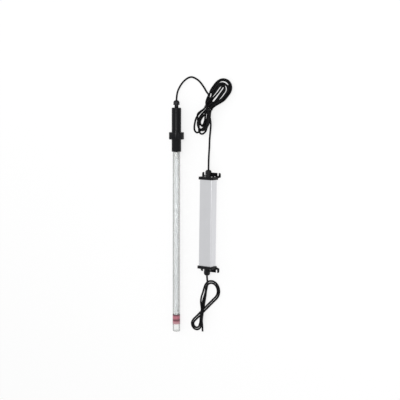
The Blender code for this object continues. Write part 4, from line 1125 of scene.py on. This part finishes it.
class LAMP_OT_sleeve(bpy.types.Operator):
    """Make the quartz sleeve, its red band and the ultraviolet lamp inside."""

    bl_idname = "lamp.sleeve"
    bl_label = "Sleeve and lamp"

    def execute(self, context):
        sizes = context.scene.lamp_sleeve
        place = lamp_place()
        radius = sizes.diameter / 2
        inner = radius - sizes.wall
        floor = sizes.low + sizes.wall
        inner_round = sizes.tip_round - sizes.wall
        profile = [(radius, sizes.high - FIT), (radius, SLEEVE_SPLIT)]
        profile += arc(radius - sizes.tip_round, sizes.low + sizes.tip_round, sizes.tip_round, 0, -90, 8)
        profile += [(0.0, sizes.low), (0.0, floor)]
        profile += arc(inner - inner_round, floor + inner_round, inner_round, -90, 0, 6)
        profile += [(inner, SLEEVE_SPLIT), (inner, sizes.high - FIT), (radius - FIT, sizes.high)]
        turned("quartz_sleeve_glass", profile, TURN_STEPS, place, "sleeve_quartz", "quartz", "quartz_sleeve")
        self.band(sizes, place)
        self.lamp(sizes, place)
        return {"FINISHED"}

    def band(self, sizes, place):
        """Red film wrapped round the sleeve."""
        radius = sizes.diameter / 2 + BAND_OFF
        profile = softened([
            (radius, sizes.band_low), (radius + BAND_FILM, sizes.band_low),
            (radius + BAND_FILM, sizes.band_high), (radius, sizes.band_high)], BAND_EDGE)
        turned("sleeve_band", profile, TURN_STEPS, place, "red_band", "film_red")

    def lamp(self, sizes, place):
        """Glass tube between a ceramic base with four pins and a ceramic end cap."""
        radius = sizes.lamp_diameter / 2
        inner = radius - sizes.lamp_wall
        profile = [(radius, sizes.glass_high), (radius, sizes.glass_low),
                   (inner, sizes.glass_low), (inner, sizes.glass_high)]
        turned("uv_lamp_glass", profile, LAMP_STEPS, place, "lamp_glass", "lamp_glass", "uv_lamp_tube")
        wide = sizes.base_diameter / 2
        cup = radius + FIT
        cup_high = sizes.base_low + LAMP_CUP
        profile = softened([
            (0.0, sizes.base_high), (wide, sizes.base_high), (wide, sizes.base_low), (cup, sizes.base_low),
            (cup, cup_high), (0.0, cup_high)], CERAMIC_EDGE, ring=False)
        name = "uv_lamp_ceramic_base"
        base = lathe(name, profile, LAMP_STEPS, ring=False)
        pin_low, pin_high = sizes.base_high - PIN_SUNK, sizes.base_high + PIN_LENGTH
        for x, y in ((PIN_CIRCLE_R, 0.0), (0.0, PIN_CIRCLE_R), (-PIN_CIRCLE_R, 0.0), (0.0, -PIN_CIRCLE_R)):
            base = combined(name, base, rod(PIN_D, pin_low, pin_high, (x, y)), "UNION")
        put(name, base, place, "glazed_ceramic", ROOT, "ceramic", "uv_lamp_base")
        cup_low = sizes.glass_low - FIT
        profile = softened([
            (0.0, cup_low), (cup, cup_low), (cup, sizes.cap_high), (wide, sizes.cap_high),
            (wide, sizes.cap_low), (0.0, sizes.cap_low)], CERAMIC_EDGE, ring=False)
        turned("uv_lamp_ceramic_cap", profile, LAMP_STEPS, place, "glazed_ceramic", "ceramic",
               "uv_lamp_end_cap", ring=False)
        for end, foot, way in (("upper", cup_high - FIT, -1), ("lower", cup_low + FIT, 1)):
            self.filament(end, foot, way * sizes.filament_depth, place)

    def filament(self, end, foot, reach, place):
        """Two posts and a coiled wire between them."""
        points = [(-COIL_ACROSS, 0.0, foot), (-COIL_ACROSS, 0.0, foot + reach)]
        count = COIL_POINTS * COIL_TURNS
        for i in range(1, count):
            angle = 2 * math.pi * COIL_TURNS * i / count
            x = COIL_ACROSS * (2 * i / count - 1)
            points.append((x, COIL_R * math.sin(angle), foot + reach + COIL_R * (1 - math.cos(angle))))
        points += [(COIL_ACROSS, 0.0, foot + reach), (COIL_ACROSS, 0.0, foot)]
        name = "uv_lamp_coil_" + end
        curve = strand(name, points, COIL_WIRE_R, 1)
        put(name, curve, place, "bright_nickel", ROOT, "nickel", "uv_lamp_filament_" + end)


class LAMP_OT_head(bpy.types.Operator):
    """Make the sleeve's socket, the union nut and the head."""

    bl_idname = "lamp.head"
    bl_label = "Head, nut and socket"

    def execute(self, context):
        sizes = context.scene.lamp_head
        sleeve = context.scene.lamp_sleeve
        place = lamp_place()
        bore = sleeve.diameter / 2 + FIT
        profile = softened([
            (sizes.thread_radius, sizes.flange_high), (sizes.thread_radius, sizes.flange_low),
            (sizes.socket_radius, sizes.flange_low), (sizes.socket_radius, sizes.socket_low),
            (bore, sizes.socket_low), (bore, sizes.flange_high)], SOCKET_EDGE)
        turned("sleeve_socket_moulding", profile, TURN_STEPS, place, "moulded_plastic", "black_plastic",
               "sleeve_socket")
        self.nut(sizes, place)
        self.housing(sizes, sleeve, place)
        return {"FINISHED"}

    def nut(self, sizes, place):
        """Union nut with grip ribs that fade at both ends."""
        bore = sizes.thread_radius + RUN
        lip = sizes.socket_radius + RUN

        def ribs(radius, angle):
            if radius <= bore + TINY:
                return radius
            turn = (angle / (2 * math.pi) * sizes.nut_ribs + 0.5) % 1.0 - 0.5
            stand = 1.0 - smooth_step((abs(turn) - RIB_FLAT) / RIB_FLANK)
            share = (radius - bore) / (sizes.nut_root - bore)
            return radius + sizes.nut_rib * stand * max(0.0, share)

        profile = softened([
            (lip, 0.0), (sizes.nut_root, 0.0), (sizes.nut_root, sizes.nut_length), (bore, sizes.nut_length),
            (bore, sizes.nut_lip), (lip, sizes.nut_lip)], NUT_EDGE)
        turned("union_nut_moulding", profile, RIB_STEPS * sizes.nut_ribs, place, "moulded_plastic",
               "black_plastic", "union_nut", body="union_nut", swell=ribs)

    def housing(self, sizes, sleeve, place):
        """Head with its collar, seal pocket and the cavity over the lamp's holder."""
        bore = sleeve.diameter / 2 + FIT
        pocket = bore + SEAL_ROOM
        ledge = sleeve.diameter / 2 - SEAT_LAP
        cavity = sizes.radius - sizes.wall
        hole = bpy.context.scene.lamp_gland.stem_radius + FIT
        collar = sizes.low + COLLAR_HEIGHT
        pocket_1 = sizes.low + SEAL_ROOM
        seat_1 = sizes.low + SEAT_HEIGHT
        ledge_1 = sizes.low + LEDGE_HEIGHT
        ceiling = sizes.high - HEAD_TOP
        profile = [(hole, sizes.high)]
        profile += arc(sizes.radius - HEAD_ROUND, sizes.high - HEAD_ROUND, HEAD_ROUND, 90, 0, 10)
        profile += softened([
            (sizes.radius, sizes.high - HEAD_STRAIGHT), (sizes.radius, collar),
            (sizes.thread_radius, collar), (sizes.thread_radius, sizes.low),
            (pocket, sizes.low), (pocket, pocket_1), (bore, pocket_1),
            (bore, seat_1), (ledge, seat_1), (ledge, ledge_1), (cavity, ledge_1), (cavity, ceiling),
            (hole, ceiling)], HEAD_EDGE, ring=False)
        turned("head_moulding", profile, TURN_STEPS, place, "moulded_plastic", "black_plastic",
               "head_housing")


class LAMP_OT_glands(bpy.types.Operator):
    """Make the three cable glands with their dome nuts."""

    bl_idname = "lamp.glands"
    bl_label = "Cable glands"

    def execute(self, context):
        sizes = context.scene.lamp_gland
        face = wall_face()
        places = {
            "head": raised(lamp_place(), context.scene.lamp_head.high),
            "lamp_side": raised(end_place("lamp_side"), face),
            "mains_side": raised(end_place("mains_side"), face),
        }
        for side, place in places.items():
            self.body(sizes, side, place)
            self.nut(sizes, side, place)
        return {"FINISHED"}

    def body(self, sizes, side, place):
        """Threaded stem with a round neck or a hexagon."""
        hexed = side != "head"
        collar = sizes.hexagon_height if hexed else sizes.neck_height
        wide = sizes.hexagon / math.sqrt(3) if hexed else sizes.neck_radius
        top = collar + GLAND_THREAD
        pocket_low = top - GLAND_POCKET
        stem = sizes.stem_radius
        profile = softened([
            (GLAND_POCKET_R, top), (stem, top), (stem, collar), (wide, collar), (wide, FIT), (stem, FIT),
            (stem, GLAND_STEM_LOW), (GLAND_BORE_R, GLAND_STEM_LOW), (GLAND_BORE_R, pocket_low),
            (GLAND_POCKET_R, pocket_low)], GLAND_EDGE)
        swell = hexagonal(sizes.hexagon) if hexed else None
        turned(side + "_gland_moulding", profile, TURN_STEPS, place, "moulded_plastic", "black_plastic",
               side + "_gland_body", swell=swell)

    def nut(self, sizes, side, place):
        """Dome nut: an ogive that runs into a hexagonal skirt."""
        low = (sizes.neck_height if side == "head" else sizes.hexagon_height) + FIT
        outlet = bpy.context.scene.lamp_cord.diameter / 2 + FIT
        tip = outlet + sizes.tip_wall
        wide = sizes.nut_hexagon / math.sqrt(3) - FIT
        bore = sizes.stem_radius + RUN
        profile = [(outlet, sizes.nut_height - FIT), (outlet + FIT, sizes.nut_height)]
        for i in range(DOME_STEPS + 1):
            share = i / DOME_STEPS
            out = math.sin(share * math.pi / 2) ** DOME_SWELL
            height = sizes.nut_height - (sizes.nut_height - sizes.nut_skirt) * share ** DOME_FALL
            profile.append((tip + (wide - tip) * out, height))
        profile += [(wide, DOME_SKIRT_EDGE), (wide - DOME_SKIRT_EDGE, 0.0), (bore, 0.0), (bore, DOME_BORE),
                    (outlet, sizes.nut_height - 2 * sizes.tip_wall)]
        turned(side + "_dome_nut", profile, TURN_STEPS, raised(place, low), "moulded_plastic",
               "black_plastic", side + "_gland_nut", body=side + "_gland_nut",
               swell=hexagonal(sizes.nut_hexagon))


class LAMP_OT_ballast(bpy.types.Operator):
    """Make the aluminium case, its end caps and their screws."""

    bl_idname = "lamp.ballast"
    bl_label = "Ballast"

    def execute(self, context):
        sizes = context.scene.lamp_ballast
        self.case(sizes)
        screw = self.screw(sizes)
        for side in ("lamp_side", "mains_side"):
            self.cap(sizes, side)
            for i, (x, y) in enumerate(self.ports(sizes)):
                place = end_place(side) @ Matrix.Translation((x, y, wall_face() + FIT))
                level(put(f"{side}_pan_screw_{i + 1}", screw, place, "zinc_steel", ROOT, "steel",
                          f"{side}_screw_{i + 1}"))
        return {"FINISHED"}

    def ports(self, sizes):
        """Screw places in the case's corner bosses."""
        inset = sizes.wall + BOSS / 2
        x, y = sizes.width / 2 - inset, sizes.height / 2 - inset
        return [(x, y), (-x, y), (-x, -y), (x, -y)]

    def case(self, sizes):
        """Extrusion with a screw port in each corner boss."""
        half = sizes.length / 2
        x, y = sizes.width / 2 - sizes.wall, sizes.height / 2 - sizes.wall
        bx, by = x - BOSS, y - BOSS
        inner = [(bx, y), (bx, by), (x, by), (x, -by), (bx, -by), (bx, -y)]
        inner += [(-px, py) for px, py in reversed(inner)]
        outlines = [rounded(sizes.width, sizes.height, sizes.corner, 12), inner]
        outlines += [arc(*port, PORT_R, 0, 360, PORT_STEPS)[:-1] for port in self.ports(sizes)]
        mesh = plate("ballast_extrusion", outlines, -half, half, CASE_EDGE)
        level(put("ballast_extrusion", mesh, ballast_place(), "anodised_aluminium", ROOT, "aluminium",
                  "ballast_case"))

    def cap(self, sizes, side):
        """Cap over the case's end, with a wall flange that has two open slots."""
        name = side + "_cap_moulding"
        wide, tall = sizes.width + 2 * sizes.overhang, sizes.height + 2 * sizes.overhang
        face = wall_face()
        recess = rounded(sizes.width + 2 * FIT, sizes.height + 2 * FIT, sizes.corner + FIT)
        rings = [[(x, y, z) for x, y in recess] for z in (sizes.gasket, -sizes.rim)]
        shares = [k / CAP_EDGE_STEPS for k in range(CAP_EDGE_STEPS + 1)]
        shoulder = [(1 - share, -sizes.rim, -1) for share in shares]
        shoulder += [(share, face, 1) for share in shares]
        for share, height, way in shoulder:
            angle = share * math.pi / 2
            inset = CAP_EDGE * (1 - math.cos(angle))
            z = height - way * CAP_EDGE * (1 - math.sin(angle))
            ring = rounded(wide - 2 * inset, tall - FLANGE_PROUD - 2 * inset, sizes.cap_corner - inset)
            rings.append([(x, y - FLANGE_PROUD / 2, z) for x, y in ring])
        mesh = loft(name, rings)
        foot = plate(name + "_foot", [self.flange(sizes, face)], 0.0, sizes.flange, FOOT_EDGE)
        foot.transform(Matrix.Translation((0.0, tall / 2, 0.0)) @ Matrix.Rotation(math.pi / 2, 4, "X"))
        mesh = combined(name, mesh, foot, "UNION")
        mesh = combined(name, mesh, rod(CAP_HOLE_D, *CAP_CUT), "DIFFERENCE")
        for port in self.ports(sizes):
            mesh = combined(name, mesh, rod(2 * PORT_R, *CAP_CUT, port), "DIFFERENCE")
        level(put(name, mesh, end_place(side), "moulded_plastic", ROOT, "black_plastic", side + "_cap"))

    def flange(self, sizes, face):
        """Plan of the wall flange, X across and Y outward from the case's end."""
        front = face + sizes.flange_reach
        wide = sizes.flange_width / 2
        corner = FLANGE_CORNER
        bottom = front - sizes.slot_depth + sizes.slot_width / 2
        centre = sizes.slot_span / 2
        half = sizes.slot_width / 2
        right = [(sizes.width / 2 + sizes.overhang / 2, sizes.gasket), (wide, front - FLANGE_TAPER - corner)]
        right += arc(wide - corner, front - corner, corner, 0, 90, 8)
        right.append((centre + half, front))
        right += arc(centre, bottom, half, 0, -180, 12)
        right.append((centre - half, front))
        return right + [(-x, y) for x, y in reversed(right)]

    def screw(self, sizes):
        """Pan head screw with a cross recess, its head's underside at the origin."""
        wide, shank = sizes.screw_head / 2, sizes.screw_shank / 2
        top = sizes.screw_height
        profile = [(out * wide, up * top) for out, up in SCREW_CROWN]
        profile += [(shank, 0.0), (shank, shank - sizes.screw_length), (0.0, -sizes.screw_length)]
        mesh = lathe("pan_screw", profile, ROD_STEPS, ring=False)
        corners = ((1, 1), (-1, 1), (-1, -1), (1, -1))
        for across, along in ((RECESS_LENGTH, RECESS_WIDTH), (RECESS_WIDTH, RECESS_LENGTH)):
            rings = []
            for share, up in RECESS_RINGS:
                rings.append([(x * across * share / 2, y * along * share / 2, up * top) for x, y in corners])
            mesh = combined("pan_screw", mesh, loft("recess", rings), "DIFFERENCE")
        return mesh


class LAMP_OT_inside(bpy.types.Operator):
    """Give the pieces that keep their CAD shape their finishes."""

    bl_idname = "lamp.inside"
    bl_label = "Inner pieces"

    def execute(self, context):
        ends = ("lamp_side", "mains_side")
        glands = ("head",) + ends
        kept = {
            "glazed_ceramic": ["lamp_holder", "sleeve_spacer", "fuse"],
            "bright_nickel": ["uv_lamp_return_wire", "slip_ring"],
            "seal_rubber": ["sleeve_seal", "head_wires", "mains_wires", "lamp_wires"]
            + [end + "_gasket" for end in ends] + [side + "_gland_seal" for side in glands],
            "moulded_plastic": [side + "_gland_locknut" for side in glands],
            "anodised_aluminium": ["power_transistors"],
            "board_green": ["circuit_board"],
            "ferrite_grey": ["mains_filter_choke", "lamp_inductor"],
            "can_blue": ["smoothing_capacitor"],
            "film_red": ["film_capacitor_1", "film_capacitor_2"],
            "terminal_grey": ["mains_terminal", "lamp_terminal"],
        }
        for look, names in kept.items():
            for name in names:
                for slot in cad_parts[name].material_slots:
                    slot.material = finish(look)
        return {"FINISHED"}


class LAMP_OT_stage(bpy.types.Operator):
    """Make the floor, the lamps, the world and the camera."""

    bl_idname = "lamp.stage"
    bl_label = "Stage"

    def execute(self, context):
        sizes = context.scene.lamp_stage
        context.scene.view_settings.view_transform = "Standard"
        self.floor(context)
        self.world(context, sizes)
        self.camera(context, sizes)
        toward = Vector(sizes.toward).normalized()
        target = Vector(sizes.target)
        key_place = target + toward * KEY_REACH + KEY_ASIDE
        self.lamp(context, "key", key_place, target, sizes.key, KEY_SIZE)
        self.lamp(context, "fill", FILL_PLACE, target, FILL_SHARE * sizes.key, FILL_SIZE)
        return {"FINISHED"}

    def floor(self, context):
        """White paper that keeps a faint shadow; mirrored or seen through glass it is plain white."""
        look = Look(bpy.data.materials.new("studio_floor"))
        paper = look.noise(look.at(), 300.0, 3.0)
        lit = look.principled({
            "Base Color": look.blend(paper, (0.89, 0.89, 0.89), (0.91, 0.91, 0.91)),
            "Roughness": 0.9,
            "Specular IOR Level": 0.0,
        })
        white = look.node("ShaderNodeEmission", None, {"Color": WHITE, "Strength": 1.0})
        seen = look.ray("Camera") * FLOOR_WHITE
        mirrored = look.ray("Glossy") + look.ray("Transmission")
        look.surface(look.node("ShaderNodeMixShader", None, {0: seen + mirrored, 1: lit, 2: white}))
        mesh = bpy.data.meshes.new("studio_floor")
        half = FLOOR_HALF
        corners = [(-half, -half, 0.0), (half, -half, 0.0), (half, half, 0.0), (-half, half, 0.0)]
        mesh.from_pydata(corners, [], [(0, 1, 2, 3)])
        mesh.materials.append(look.owner)
        floor = bpy.data.objects.new("studio_floor", mesh)
        context.scene.collection.objects.link(floor)

    def world(self, context, sizes):
        """White to the camera, and a little dimmer as a light."""
        world = bpy.data.worlds.new("studio")
        context.scene.world = world
        look = Look(world)
        strength = sizes.sky + (1.0 - sizes.sky) * look.ray("Camera")
        look.surface(look.node("ShaderNodeBackground", None, {"Color": WHITE, "Strength": strength}))

    def lamp(self, context, name, place, target, power, size):
        """Square area lamp that faces the target."""
        light = bpy.data.lights.new(name, "AREA")
        light.energy = power
        light.size = size
        obj = bpy.data.objects.new(name, light)
        context.scene.collection.objects.link(obj)
        obj.location = place
        obj.rotation_euler = (target - place).to_track_quat("-Z", "Y").to_euler()

    def camera(self, context, sizes):
        """Camera on the line toward the target, with +Y up in the picture before its roll."""
        toward = Vector(sizes.toward).normalized()
        up = (Vector((0.0, 1.0, 0.0)) - toward * toward.y).normalized()
        right = up.cross(toward)
        turned_right = right * math.cos(sizes.roll) + up * math.sin(sizes.roll)
        turned_up = up * math.cos(sizes.roll) - right * math.sin(sizes.roll)
        data = bpy.data.cameras.new("camera")
        data.lens = sizes.lens
        data.sensor_width = SENSOR
        camera = bpy.data.objects.new("camera", data)
        context.scene.collection.objects.link(camera)
        turn = Matrix((turned_right, turned_up, toward)).transposed().to_4x4()
        camera.matrix_world = Matrix.Translation(Vector(sizes.target) + toward * sizes.distance) @ turn
        context.scene.camera = camera


class LAMP_PT_looks(bpy.types.Panel):
    """Lists the operators that build the looks."""

    bl_idname = "LAMP_PT_looks"
    bl_label = "Immersion lamp"
    bl_space_type = "VIEW_3D"
    bl_region_type = "UI"
    bl_category = "Lamp"

    def draw(self, context):
        for operator in OPERATORS:
            self.layout.operator(operator.bl_idname)


OPERATORS = (
    LAMP_OT_stage,
    LAMP_OT_cords,
    LAMP_OT_sleeve,
    LAMP_OT_head,
    LAMP_OT_glands,
    LAMP_OT_ballast,
    LAMP_OT_inside,
)
GROUPS = {
    "lamp_sleeve": LAMP_PG_sleeve,
    "lamp_head": LAMP_PG_head,
    "lamp_gland": LAMP_PG_gland,
    "lamp_ballast": LAMP_PG_ballast,
    "lamp_cord": LAMP_PG_cord,
    "lamp_finish": LAMP_PG_finish,
    "lamp_stage": LAMP_PG_stage,
}


def register():
    for name, group in GROUPS.items():
        bpy.utils.register_class(group)
        setattr(bpy.types.Scene, name, PointerProperty(type=group))
    for operator in OPERATORS:
        bpy.utils.register_class(operator)
    bpy.utils.register_class(LAMP_PT_looks)


def unregister():
    bpy.utils.unregister_class(LAMP_PT_looks)
    for operator in reversed(OPERATORS):
        bpy.utils.unregister_class(operator)
    for name, group in GROUPS.items():
        delattr(bpy.types.Scene, name)
        bpy.utils.unregister_class(group)


def main():
    register()
    bpy.ops.lamp.stage()
    bpy.ops.lamp.cords()
    bpy.ops.lamp.sleeve()
    bpy.ops.lamp.head()
    bpy.ops.lamp.glands()
    bpy.ops.lamp.ballast()
    bpy.ops.lamp.inside()


if __name__ == "__main__":
    main()
